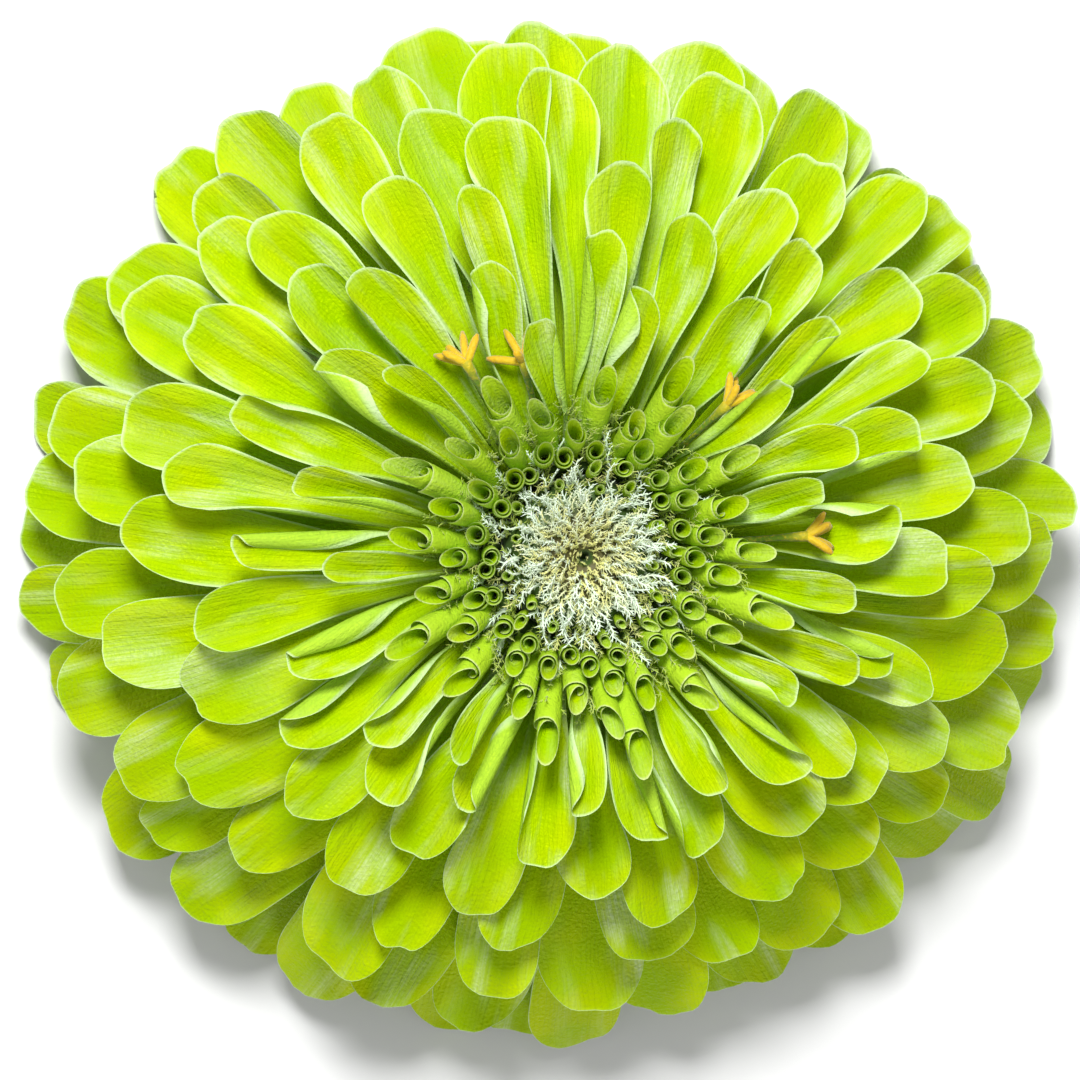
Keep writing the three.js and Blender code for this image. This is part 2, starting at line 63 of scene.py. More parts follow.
def draw(number: Array | float, channel: Array | int) -> Array:
    """A repeatable draw between -1 and 1: the fraction of a large sine of number and channel.

    Args:
        number: what the draw is for, such as a petal's number.
        channel: tells apart the draws for one number, so each use has its own.

    Returns:
        One draw for each number.
    """
    wave = np.sin(np.asarray(number, float) * 12.9898 + channel * 78.233) * 43758.5453
    return 2 * (wave - np.floor(wave)) - 1


def mix(a: Array | float, b: Array | float, share: Array | float) -> Array:
    """The straight blend from a to b."""
    return a + (b - a) * share


def smooth(start: float, stop: float, x: Array | float) -> Array:
    """A soft step: 0 before start, 1 after stop, and 3s² - 2s³ of the share s between."""
    s = np.clip((np.asarray(x, float) - start) / (stop - start), 0, 1)
    return s * s * (3 - 2 * s)


def unit(vectors: Array) -> Array:
    """The vectors scaled to length 1."""
    return vectors / np.maximum(np.linalg.norm(vectors, axis=-1, keepdims=True), 1e-12)


def compass(azimuth: Array) -> tuple[Array, Array, Array]:
    """Unit vectors outward, sideways and up at each azimuth.

    Args:
        azimuth: angles about the bloom's axis, of any shape.

    Returns:
        Three arrays with one more axis of length 3.
    """
    zero = np.zeros_like(azimuth)
    outward = np.stack([np.cos(azimuth), np.sin(azimuth), zero], -1)
    sideways = np.stack([-np.sin(azimuth), np.cos(azimuth), zero], -1)
    up = np.stack([zero, zero, zero + 1], -1)
    return outward, sideways, up


def from_middle(values: Array, spacing: Array) -> Array:
    """Sums values over the last axis by the trapezium rule, outward from its middle.

    Args:
        values: what is summed, of shape (..., V).
        spacing: the V - 1 steps between columns.

    Returns:
        The running sum, of the same shape, zero in the middle column.
    """
    steps = (values[..., 1:] + values[..., :-1]) / 2 * spacing
    total = np.concatenate([np.zeros_like(values[..., :1]), np.cumsum(steps, -1)], -1)
    middle = values.shape[-1] // 2
    return total - total[..., middle : middle + 1]


# Skins


@dataclass
class Skin:
    """A closed surface: points in mm, faces as arrays of point numbers, and values at points."""

    points: Array
    faces: list[Array]
    values: dict[str, Array] = field(default_factory=dict)

    def joined(self, other: "Skin") -> "Skin":
        """This skin and another as one, with a value that either lacks taken as 0.

        Args:
            other: the skin that is added, with its points numbered on from this one's.

        Returns:
            The new skin.
        """
        names = self.values.keys() | other.values.keys()
        counts = len(self.points), len(other.points)
        values = {}
        for name in names:
            both = [skin.values.get(name, np.zeros(n)) for skin, n in zip((self, other), counts)]
            values[name] = np.concatenate(both)
        faces = self.faces + [group + counts[0] for group in other.faces]
        return Skin(np.concatenate([self.points, other.points]), faces, values)

    def piece(self, name: str, material: bpy.types.Material) -> bpy.types.Object:
        """Makes the skin a smooth-shaded mesh object at the origin, sharp where "edge" is 1.

        Args:
            name: the piece's name.
            material: its finish.

        Returns:
            The new object, linked to the scene.
        """
        mesh = bpy.data.meshes.new(name)
        groups = [group.reshape(-1, group.shape[-1]) for group in self.faces]
        corners = np.concatenate([group.ravel() for group in groups])
        totals = np.concatenate([np.full(len(group), group.shape[1]) for group in groups])
        mesh.vertices.add(len(self.points))
        mesh.vertices.foreach_set("co", (self.points * MM).astype(np.float32).ravel())
        mesh.loops.add(len(corners))
        mesh.loops.foreach_set("vertex_index", corners.astype(np.int32))
        mesh.polygons.add(len(totals))
        starts = np.concatenate([[0], np.cumsum(totals)[:-1]]).astype(np.int32)
        mesh.polygons.foreach_set("loop_start", starts)
        mesh.polygons.foreach_set("use_smooth", np.ones(len(totals), bool))
        for key, value in self.values.items():
            attribute = mesh.attributes.new(key, "FLOAT", "POINT")
            attribute.data.foreach_set("value", value.astype(np.float32).ravel())
        mesh.update(calc_edges=True)
        mesh.validate()
        if "edge" in self.values:
            ends = np.empty(2 * len(mesh.edges), np.int32)
            mesh.edges.foreach_get("vertices", ends)
            sharp = self.values["edge"][ends.reshape(-1, 2)].min(1) > 0.5
            mesh.edges.foreach_set("use_edge_sharp", sharp)
        mesh.materials.append(material)
        made = bpy.data.objects.new(name, mesh)
        bpy.context.collection.objects.link(made)
        return made


def grid_faces(ids: Array) -> Array:
    """Quads over a grid of point numbers, wound so that along × across is the outside."""
    low, high = ids[..., :-1, :], ids[..., 1:, :]
    quads = np.stack([low[..., :-1], high[..., :-1], high[..., 1:], low[..., 1:]], -1)
    return quads.reshape(-1, 4)


def leaves(middle: Array, half: Array, values: dict[str, Array]) -> Skin:
    """Thin closed bodies about middle surfaces.

    Each face is the middle surface moved half a thickness along its normal, which is the cross
    product of the slopes along and across. Both faces share the points of the rim.

    Args:
        middle: points of shape (N, U, V, 3).
        half: half the thickness, which broadcasts to (N, U, V).
        values: arrays that broadcast to (N, U, V), kept at the points.

    Returns:
        One skin of N bodies, with the value "back" 1 on the lower face and "edge" 1 on the rim.
    """
    count, rows, columns = middle.shape[:3]
    along = np.gradient(middle, axis=1)
    across = np.gradient(middle, axis=2)
    offset = unit(np.cross(along, across)) * np.broadcast_to(half, middle.shape[:3])[..., None]
    rim = np.zeros((rows, columns), bool)
    rim[[0, -1], :] = True
    rim[:, [0, -1]] = True
    top = np.where(rim[None, :, :, None], middle, middle + offset)
    bottom = (middle - offset)[:, ~rim]
    per_leaf = rows * columns + int((~rim).sum())
    top_ids = np.arange(rows * columns).reshape(rows, columns)
    bottom_ids = top_ids.copy()
    bottom_ids[~rim] = rows * columns + np.arange((~rim).sum())
    faces = np.concatenate([grid_faces(top_ids), grid_faces(bottom_ids)[:, ::-1]])
    faces = faces[None] + (np.arange(count) * per_leaf)[:, None, None]
    points = np.concatenate([top.reshape(count, -1, 3), bottom], 1).reshape(-1, 3)
    kept = {}
    for name, value in values.items():
        full = np.broadcast_to(value, middle.shape[:3])
        kept[name] = np.concatenate([full.reshape(count, -1), full[:, ~rim]], 1).ravel()
    is_back = np.arange(per_leaf) >= rows * columns
    kept["back"] = np.tile(is_back.astype(float), count)
    kept["edge"] = np.tile(np.concatenate([rim.ravel(), np.zeros((~rim).sum())]), count)
    return Skin(points, [faces.reshape(-1, 4)], kept)


def tubes(paths: Array, radii: Array, sides: int, values: dict[str, Array]) -> Skin:
    """Closed round tubes along paths: rings square to the path, with a flat cap at each end.

    A ring's point is the path's, moved by the radius along cosine times one square direction plus
    sine times the other.

    Args:
        paths: points of shape (N, K, 3).
        radii: the radius at each point, which broadcasts to (N, K).
        sides: corners of each ring.
        values: arrays that broadcast to (N, K), kept at the points.

    Returns:
        One skin of N tubes, with the value "along" running from 0 to 1.
    """
    count, steps = paths.shape[:2]
    tangent = unit(np.gradient(paths, axis=1))
    lean = np.where(np.abs(tangent[:, :1, 2:]) > 0.9, [[[1.0, 0, 0]]], [[[0, 0, 1.0]]])
    first = unit(np.cross(tangent, np.broadcast_to(lean, tangent.shape)))
    second = np.cross(tangent, first)
    turn = np.arange(sides) / sides * TAU
    first, second = first[:, :, None], second[:, :, None]
    ring = first * np.cos(turn)[:, None] + second * np.sin(turn)[:, None]
    radii = np.broadcast_to(radii, (count, steps))
    points = paths[:, :, None] + ring * radii[..., None, None]
    ids = np.arange(steps * sides).reshape(steps, sides)
    wrapped = np.concatenate([ids, ids[:, :1]], 1)
    offset = (np.arange(count) * steps * sides)[:, None, None]
    walls = grid_faces(wrapped)[:, ::-1][None] + offset
    caps = np.stack([ids[0][::-1], ids[-1]])[None] + offset
    along = np.broadcast_to(np.linspace(0, 1, steps), (count, steps))
    kept = {
        name: np.repeat(np.broadcast_to(value, (count, steps)), sides, -1).ravel()
        for name, value in {"along": along, **values}.items()
    }
    faces = [walls.reshape(-1, 4), caps.reshape(-1, sides)]
    return Skin(points.reshape(-1, 3), faces, kept)


def turned(
    profile: Sequence[tuple[float, float]],
    sides: int,
    ripple: Callable[[Array, Array], Array] | None = None,
) -> Skin:
    """A solid of revolution about the bloom's axis, from the axis below to the axis above.

    A point is the profile's radius along the cosine and sine of its azimuth, at its height.

    Args:
        profile: pairs of radius and height between the two ends, which are closed on the axis.
        sides: points in each ring.
        ripple: adds to the radius, given the ring's radius and the azimuth.

    Returns:
        The closed skin, with the value "along" from its bottom to its top.
    """
    rings = np.array(profile, float)
    azimuth = np.arange(sides) / sides * TAU
    radius = np.repeat(rings[:, :1], sides, 1)
    if ripple is not None:
        radius = radius + ripple(radius, azimuth[None])
    height = np.repeat(rings[:, 1:], sides, 1)
    wall = np.stack([radius * np.cos(azimuth), radius * np.sin(azimuth), height], -1)
    poles = np.array([[0, 0, rings[0, 1]], [0, 0, rings[-1, 1]]])
    points = np.concatenate([wall.reshape(-1, 3), poles])
    ids = np.arange(wall.shape[0] * sides).reshape(-1, sides)
    wrapped = np.concatenate([ids, ids[:, :1]], 1)
    low, high = len(points) - 2, len(points) - 1
    after = np.roll(ids, -1, 1)
    foot = np.stack([np.full(sides, low), after[0], ids[0]], -1)
    head = np.stack([np.full(sides, high), ids[-1], after[-1]], -1)
    faces = [grid_faces(wrapped)[:, ::-1], np.concatenate([foot, head])]
    along = np.append(np.repeat(np.linspace(0, 1, len(rings)), sides), [0.0, 1.0])
    return Skin(points, faces, {"along": along})


# Finishes


class Socket(Enum):
    """The shader sockets that a finish sets, by the shader's own names."""

    COLOUR = "Base Color"
    ROUGHNESS = "Roughness"
    NORMAL = "Normal"
    SPECULAR = "Specular IOR Level"
    TINT = "Specular Tint"
    SHEEN = "Sheen Weight"


Colour = tuple[float, float, float]
Wire = bpy.types.NodeSocket


class Graph:
    """A material's node tree, built up by short calls that each return an output socket."""

    def __init__(self, name: str) -> None:
        """Starts an empty tree with an output."""
        self.material = bpy.data.materials.new(name)
        self.material.use_nodes = True
        self.tree = self.material.node_tree
        self.tree.nodes.clear()
        self.out = self.tree.nodes.new("ShaderNodeOutputMaterial")

    def feed(self, socket: Wire, value: object) -> None:
        """Links a wire to the socket, or sets a plain value on it.

        Args:
            socket: the input that is fed.
            value: a wire, a number, or a colour, which is made opaque where the input needs that.
        """
        if isinstance(value, bpy.types.NodeSocket):
            self.tree.links.new(value, socket)
        elif isinstance(value, tuple) and len(value) == 3 and len(socket.default_value) == 4:
            socket.default_value = (*value, 1.0)
        else:
            socket.default_value = value

    def value(self, name: str) -> Wire:
        """The piece's own value of that name, at the point."""
        node = self.tree.nodes.new("ShaderNodeAttribute")
        node.attribute_name = name
        return node.outputs["Fac"]

    def place(self) -> Wire:
        """The point's own coordinates in metres."""
        return self.tree.nodes.new("ShaderNodeTexCoord").outputs["Object"]

    def maths(self, how: str, *values: object) -> Wire:
        """The result of a Math node on up to three values.

        Args:
            how: the node's operation.
            values: wires or numbers.

        Returns:
            The result.
        """
        node = self.tree.nodes.new("ShaderNodeMath")
        node.operation = how
        for socket, value in zip(node.inputs, values):
            self.feed(socket, value)
        return node.outputs[0]

    def scaled(self, x: object, y: object, z: object) -> Wire:
        """Three values joined to one vector."""
        node = self.tree.nodes.new("ShaderNodeCombineXYZ")
        for socket, value in zip(node.inputs, (x, y, z)):
            self.feed(socket, value)
        return node.outputs[0]

    def noise(self, vector: Wire, scale: float, detail: float = 2.0) -> Wire:
        """Fractal noise.

        Args:
            vector: where it is read.
            scale: blotches in a unit of the vector.
            detail: the finer octaves on top.

        Returns:
            The noise, between 0 and 1.
        """
        node = self.tree.nodes.new("ShaderNodeTexNoise")
        self.feed(node.inputs["Vector"], vector)
        node.inputs["Scale"].default_value = scale
        node.inputs["Detail"].default_value = detail
        return node.outputs["Fac"]

    def times(self, first: object, second: object) -> Wire:
        """The product of two values."""
        return self.maths("MULTIPLY", first, second)

    def streaks(self, along: float, across: float, seed: Wire, detail: float = 2.0) -> Wire:
        """Noise stretched over the piece's own shares along and across.

        Args:
            along: how many blotches lie along the piece.
            across: how many lie across it.
            seed: a value of the piece's own, so that no two pieces look alike.
            detail: the noise's finer octaves.

        Returns:
            The noise, between 0 and 1.
        """
        shares = self.times(self.value("along"), along), self.times(self.value("across"), across)
        return self.noise(self.scaled(*shares, seed), 1.0, detail)

    def span(self, value: Wire, start: float, stop: float, to: tuple[float, float] = (0, 1)) -> Wire:
        """The value carried from one range to another by a soft step.

        Args:
            value: what is carried.
            start: where the step begins.
            stop: where it ends.
            to: the results at those two.

        Returns:
            The carried value.
        """
        node = self.tree.nodes.new("ShaderNodeMapRange")
        node.interpolation_type = "SMOOTHSTEP"
        for socket, number in zip(list(node.inputs)[:5], (value, start, stop, *to)):
            self.feed(socket, number)
        return node.outputs[0]

    def blend(self, share: object, first: object, second: object) -> Wire:
        """Two colours mixed by a share.

        Args:
            share: how much of the second there is, from 0 to 1.
            first: a colour or a wire.
            second: a colour or a wire.

        Returns:
            The mixed colour.
        """
        node = self.tree.nodes.new("ShaderNodeMix")
        node.data_type = "RGBA"
        sockets = (node.inputs[0], node.inputs[6], node.inputs[7])
        for socket, value in zip(sockets, (share, first, second)):
            self.feed(socket, value)
        return node.outputs[2]

    def ramp(self, share: Wire, stops: Sequence[tuple[float, Colour]]) -> Wire:
        """A colour along a row of stops.

        Args:
            share: the place along the row, from 0 to 1.
            stops: pairs of a place and a colour.

        Returns:
            The colour.
        """
        node = self.tree.nodes.new("ShaderNodeValToRGB")
        self.feed(node.inputs[0], share)
        points = node.color_ramp.elements
        while len(points) < len(stops):
            points.new(1.0)
        for point, (at, colour) in zip(points, stops):
            point.position = at
            point.color = (*colour, 1.0)
        return node.outputs[0]

    def bump(self, height: Wire, strength: float, depth: float) -> Wire:
        """A normal bent by a relief.

        Args:
            height: the relief, from 0 to 1.
            strength: how much of it shows.
            depth: the relief's depth in metres.

        Returns:
            The bent normal.
        """
        node = self.tree.nodes.new("ShaderNodeBump")
        node.inputs["Strength"].default_value = strength
        node.inputs["Distance"].default_value = depth
        self.feed(node.inputs["Height"], height)
        return node.outputs[0]

    def surface(
        self, sockets: dict[Socket, object], glow: tuple[float, object] | None = None
    ) -> bpy.types.Material:
        """Ends the tree in a plain shader, with light let through if it glows.

        Args:
            sockets: what goes to each of the shader's sockets.
            glow: the share of light let through, and its colour.

        Returns:
            The finished material.
        """
        shader = self.tree.nodes.new("ShaderNodeBsdfPrincipled")
        for socket, value in sockets.items():
            self.feed(shader.inputs[socket.value], value)
        result = shader.outputs[0]
        if glow is not None:
            through = self.tree.nodes.new("ShaderNodeBsdfTranslucent")
            self.feed(through.inputs[0], glow[1])
            both = self.tree.nodes.new("ShaderNodeMixShader")
            both.inputs[0].default_value = glow[0]
            self.tree.links.new(result, both.inputs[1])
            self.tree.links.new(through.outputs[0], both.inputs[2])
            result = both.outputs[0]
        self.tree.links.new(result, self.out.inputs[0])
        return self.material


@dataclass(frozen=True)
class PetalFinish:
    """Lime petal: a greener claw darkened as painted shade, faint veins, painted shade in the bowl of
    the spoon, painted light along the margin, painted pale sheen streaks, a mint rim with painted
    edge light, a paler back.
    """

    name: str = "lime_petal"
    # claw: greener than the blade, and dark enough to stand as painted shade where the claws show
    # between petals
    claw: Colour = (0.11, 0.26, 0.0)
    blade: Colour = (0.37, 0.56, 0.0)
    tip: Colour = (0.49, 0.64, 0.002)
    yellow: Colour = (0.47, 0.60, 0.0)
    green: Colour = (0.26, 0.50, 0.0)
    # painted highlight: the pale colour of the sheen streaks
    painted_highlight: Colour = (0.62, 0.76, 0.40)
    # painted shade: the darker olive in the bowl of the spoon near the tip
    painted_hollow_shade: Colour = (0.22, 0.37, 0.0)
    # painted light: a lighter band along the raised edges
    margin: Colour = (0.44, 0.64, 0.02)
    # pale rim: the petal's paler edge with painted edge light on top
    rim: Colour = (0.58, 0.76, 0.38)
    back: Colour = (0.38, 0.62, 0.05)
    gloss: Colour = (0.9, 1.0, 0.0)
    painted_highlight_span: tuple[float, float] = (0.47, 0.68)
    streak: tuple[float, float] = (1.6, 9.0)
    area: tuple[float, float] = (3.2, 1.6)
    thread: tuple[float, float] = (7.0, 24.0)
    grain: float = 3400.0
    mottle: float = 210.0
    veins: float = 10.0
    vein_wander: float = 4.0
    vein_width: float = 0.42
    vein_share: float = 0.13
    painted_hollow_shade_share: float = 0.6
    yellow_share: float = 0.55
    green_share: float = 0.55
    back_share: float = 0.75
    rim_share: float = 0.95
    rim_width: float = 0.3
    roughness: tuple[float, float] = (0.32, 0.48)
    specular: float = 0.22
    relief: float = 0.0002

    def material(self) -> bpy.types.Material:
        """The petal's node tree: the tints of its body, then the painted sheen streaks, the back, and
        the rim with its painted edge light over them.
        """
        g = Graph(self.name)
        seed = g.times(g.value("tint"), 31.0)
        streaks = g.streaks(*self.streak, seed)
        grain = g.noise(g.place(), self.grain, 1.0)
        vein = self.vein(g, seed)
        # painted highlight: pale sheen streaks laid over the body colour
        lit = g.blend(self.painted_highlight_share(g, seed, grain), self.body(g, vein), self.painted_highlight)
        along, rim = g.value("along"), g.value("rim")
        behind = g.times(g.value("back"), g.span(along, 0.25, 0.6, (0.0, self.back_share)))
        # pale rim: partly the petal's own paler edge, partly painted edge light, wider on the bloom's
        # high side
        pale = g.span(rim, 0.0, self.rim_width, (self.rim_share, 0.0))
        edge = g.times(pale, g.span(along, 0.2, 0.6))
        height = g.maths("MULTIPLY_ADD", vein, -0.1, g.maths("MULTIPLY_ADD", grain, 0.7, streaks))
        return g.surface(
            {
                Socket.COLOUR: g.blend(edge, g.blend(behind, lit, self.back), self.rim),
                Socket.ROUGHNESS: g.span(streaks, 0.3, 0.7, self.roughness),
                Socket.SPECULAR: self.specular,
                Socket.TINT: self.gloss,
                Socket.NORMAL: g.bump(height, 0.8, self.relief),
            }
        )

    def vein(self, g: Graph, seed: Wire) -> Wire:
        """How much of a vein is at the point: near 1 where a sine over wandering lines is near 0.

        Args:
            g: the petal's graph.
            seed: the petal's own value.

        Returns:
            The vein's share, from 0 to 1.
        """
        lines = g.scaled(g.times(g.value("along"), 3.0), g.value("across"), seed)
        wander = g.noise(lines, 2.0, 1.0)
        turns = g.times(g.value("across"), self.veins)
        phase = g.maths("MULTIPLY_ADD", wander, self.vein_wander, turns)
        wave = g.maths("ABSOLUTE", g.maths("SINE", g.times(phase, math.pi)))
        return g.span(wave, 0.0, self.vein_width, (1, 0))

    def body(self, g: Graph, vein: Wire) -> Wire:
        """The petal's colour from claw to tip, with painted shade in the bowl of the spoon, painted
        light along the margin, mottling and veins.

        Args:
            g: the petal's graph.
            vein: how much of a vein there is.

        Returns:
            The colour.
        """
        along = g.value("along")
        middle = g.span(g.maths("ABSOLUTE", g.value("across")), 0.1, 0.8, (self.painted_hollow_shade_share, 0.0))
        # painted shade: the middle of the spoon darkens from half way to the tip, where its bowl
        # faces away from the light
        spoon_shade_mask = g.times(g.span(along, 0.5, 0.8), middle)
        # painted light: a lighter band along the margin, wider on the bloom's high side
        margin = g.span(g.value("rim"), 0.2, 1.5, (0.45, 0.0))
        warm = g.span(g.value("tint"), -1.0, 1.0, (0.0, self.yellow_share))
        cool = g.span(g.noise(g.place(), self.mottle), 0.3, 0.68, (0.0, self.green_share))
        # the claw end of the ramp is darkened as painted shade in the gaps between petals
        colour = g.ramp(along, [(0.1, self.claw), (0.38, self.blade), (1.0, self.tip)])
        layers = (
            (spoon_shade_mask, self.painted_hollow_shade),
            (margin, self.margin),
            (warm, self.yellow),
            (cool, self.green),
            (g.times(vein, self.vein_share), self.green),
        )
        for share, tone in layers:
            colour = g.blend(share, colour, tone)
        return colour

    def painted_highlight_share(self, g: Graph, seed: Wire, grain: Wire) -> Wire:
        """Where a painted highlight lays pale sheen on the skin: in broad areas, thread by thread, on
        one flank.

        Args:
            g: the petal's graph.
            seed: the petal's own value.
            grain: a fine noise that breaks the shine up.

        Returns:
            The painted highlight's share, from 0 to 1.
        """
        areas = g.span(g.streaks(*self.area, seed), *self.painted_highlight_span)
        threads = g.span(g.streaks(*self.thread, seed), 0.3, 0.7, (0.3, 1.0))
        side = g.times(g.value("across"), g.maths("SIGN", g.value("tint")))
        flank = g.span(side, -0.6, 0.9, (0.12, 1.0))
        speckle = g.span(grain, 0.35, 0.7, (0.6, 1.0))
        return g.times(g.times(g.times(areas, threads), flank), speckle)


QUILL_FINISH = PetalFinish(
    name="lime_quill",
    # quill claw: greener, darkened as painted shade at the base
    claw=(0.20, 0.41, 0.0),
    blade=(0.41, 0.62, 0.0),
    tip=(0.45, 0.64, 0.0),
    yellow=(0.51, 0.65, 0.0),
    green=(0.34, 0.60, 0.0),
    back=(0.41, 0.63, 0.03),
    # pale rim of the quills, partly painted edge light
    rim=(0.59, 0.69, 0.28),
    # painted highlight colour of the quills' sheen streaks
    painted_highlight=(0.54, 0.68, 0.25),
    # painted shade colour of the quills' darker middle
    painted_hollow_shade=(0.20, 0.34, 0.0),
    # painted light along the edges of the quills
    margin=(0.41, 0.57, 0.02),
    painted_highlight_span=(0.42, 0.62),
    rim_width=0.27,
    veins=7.0,
)


@dataclass(frozen=True)
class FringeFinish:
    """Silvery fringe on the disc's bracts: green at the root, white at the tips, cream inside."""

    name: str = "silver_fringe"
    root: Colour = (0.14, 0.25, 0.03)
    silver: Colour = (0.85, 0.99, 0.82)
    cream: Colour = (0.86, 0.84, 0.30)
    olive: Colour = (0.48, 0.62, 0.06)
    dusty: Colour = (0.50, 0.62, 0.30)

    def material(self) -> bpy.types.Material:
        """The fringe's node tree: its tone runs from 0, silver, past 1, cream, to 2, olive."""
        g = Graph(self.name)
        along, tone = g.value("along"), g.value("tone")
        tip = g.blend(g.span(tone, 0.0, 1.0), self.silver, self.cream)
        tip = g.blend(g.span(tone, 1.0, 2.0), tip, self.olive)
        grain = g.noise(g.place(), 2200.0)
        tip = g.blend(g.span(grain, 0.4, 0.8, (0.0, 0.25)), tip, self.dusty)
        colour = g.blend(g.span(along, 0.0, 0.45), self.root, tip)
        return g.surface(
            {
                Socket.COLOUR: colour,
                Socket.ROUGHNESS: 0.6,
                Socket.SHEEN: 0.3,
                Socket.NORMAL: g.bump(grain, 0.4, 0.00005),
            }
        )


@dataclass(frozen=True)
class FloretFinish:
    """Velvety disc floret: greenish tube, yellow throat, orange lobes."""

    name: str = "golden_floret"
    tube: Colour = (0.16, 0.30, 0.0)
    throat: Colour = (0.80, 0.60, 0.0)
    lobe: Colour = (0.84, 0.50, 0.0)
    velvet: Colour = (0.94, 0.68, 0.01)
    let_through: float = 0.2

    def material(self) -> bpy.types.Material:
        """The floret's node tree."""
        g = Graph(self.name)
        grain = g.noise(g.place(), 3000.0, 3.0)
        colour = g.ramp(g.value("tone_share"), [(0.36, self.tube), (0.5, self.throat), (1.0, self.lobe)])
        fuzzy = g.blend(g.span(grain, 0.45, 0.75, (0.0, 0.6)), colour, self.velvet)
        return g.surface(
            {
                Socket.COLOUR: fuzzy,
                Socket.ROUGHNESS: 0.6,
                Socket.SHEEN: 0.4,
                Socket.NORMAL: g.bump(grain, 0.8, 0.00015),
            },
            (self.let_through, fuzzy),
        )


@dataclass(frozen=True)
class GreenFinish:
    """Plain plant green, streaked along the growth, with a second colour that a value brings in."""

    name: str
    green: Colour
    light: Colour
    marked: Colour
    mark: str
    span: tuple[float, float] = (0.0, 1.0)
    roughness: float = 0.6

    def material(self) -> bpy.types.Material:
        """The node tree of stem, cup, bract or receptacle."""
        g = Graph(self.name)
        lines = g.scaled(g.times(g.value("turn"), 9.0), g.value("along"), 0.0)
        streaks = g.noise(lines, 4.0, 3.0)
        speckle = g.noise(g.place(), 1400.0, 4.0)
        colour = g.blend(g.span(streaks, 0.35, 0.7), self.green, self.light)
        colour = g.blend(g.span(speckle, 0.5, 0.8, (0.0, 0.4)), colour, self.light)
        colour = g.blend(g.span(g.value(self.mark), *self.span), colour, self.marked)
        height = g.maths("MULTIPLY_ADD", streaks, 0.8, speckle)
        return g.surface(
            {
                Socket.COLOUR: colour,
                Socket.ROUGHNESS: self.roughness,
                Socket.SHEEN: 0.2,
                Socket.NORMAL: g.bump(height, 0.5, 0.00012),
            }
        )


STEM_GREEN = GreenFinish(
    "stem_green", (0.10, 0.22, 0.02), (0.20, 0.36, 0.06), (0.62, 0.68, 0.38), "pith"
)
CUP_GREEN = GreenFinish(
    "cup_green", (0.07, 0.16, 0.015), (0.12, 0.24, 0.03), (0.10, 0.20, 0.02), "along"
)
BRACT_GREEN = GreenFinish(
    "bract_green", (0.11, 0.25, 0.02), (0.20, 0.38, 0.04), (0.035, 0.022, 0.010), "margin"
)
CORE_GREEN = GreenFinish(
    "core_green", (0.03, 0.08, 0.004), (0.06, 0.13, 0.006), (0.05, 0.11, 0.005), "along"
)
# The disc dome's near-black green is painted shade in the gaps between the fringe strands, and its
# dark brown second colour is painted shade round the pit.
DISC_GREEN = GreenFinish(
    "disc_green", (0.025, 0.065, 0.003), (0.05, 0.11, 0.005), (0.09, 0.08, 0.012), "tone_share", (0.1, 0.75)
)


@dataclass(frozen=True)
class FloorFinish:
    """Matt white paper."""

    name: str = "white_paper"
    white: Colour = (0.86, 0.86, 0.86)

    def material(self) -> bpy.types.Material:
        """The floor's node tree, with a faint grain."""
        g = Graph(self.name)
        grain = g.noise(g.place(), 900.0)
        return g.surface(
            {
                Socket.COLOUR: self.white,
                Socket.ROUGHNESS: 0.9,
                Socket.SPECULAR: 0.1,
                Socket.NORMAL: g.bump(grain, 0.05, 0.00005),
            }
        )


# The florets' places, which the petals leave free


@dataclass(frozen=True)
class FloretPlace:
    """Where a floret's star stands: azimuth in degrees, distance from the axis and height."""

    azimuth: float
    reach: float
    height: float


FLORET_PLACES = (
    FloretPlace(121.5, 18.7, 31.9),
    FloretPlace(107.9, 16.9, 32.4),
    FloretPlace(47.2, 16.9, 32.2),
    FloretPlace(5.3, 18.2, 31.9),
)
FLORET_PARTING = 6.5


def parted(azimuth: Array, share: Array) -> Array:
    """Azimuths in degrees, pushed half way out of the parting on each side of every floret.

    Args:
        azimuth: angles in degrees.
        share: how much of the parting holds for each.

    Returns:
        The angles, moved where they lay in a parting.
    """
    clear = azimuth
    for place in FLORET_PLACES:
        off = (clear - place.azimuth) % 360
        off = np.where(off > 180, off - 360, off)
        room = share * FLORET_PARTING
        pushed = place.azimuth + np.sign(off) * (room + np.abs(off)) / 2
        clear = np.where(np.abs(off) < room, pushed, clear)
    return clear


# Petals


@dataclass
class PetalForms:
    """The measures of a row of ray petals, each an array of shape (N, 1, 1)."""

    number: Array
    share: Array
    azimuth: Array
    root: tuple[Array, Array]
    tip: tuple[Array, Array]
    half_width: Array
    bend: Array
    flick: Array
    root_roll: Array
    tip_roll: Array
    twist: Array
    sweep: Array


@dataclass(frozen=True)
class Stray:
    """How far a draw carries each measure: azimuth in degrees, height in mm, the rest as shares."""

    azimuth: float = 2.4
    reach: float = 0.02
    height: float = 0.7
    width: float = 0.11
    bend: float = 0.15
    flick: float = 1.2
    roll: float = 0.25


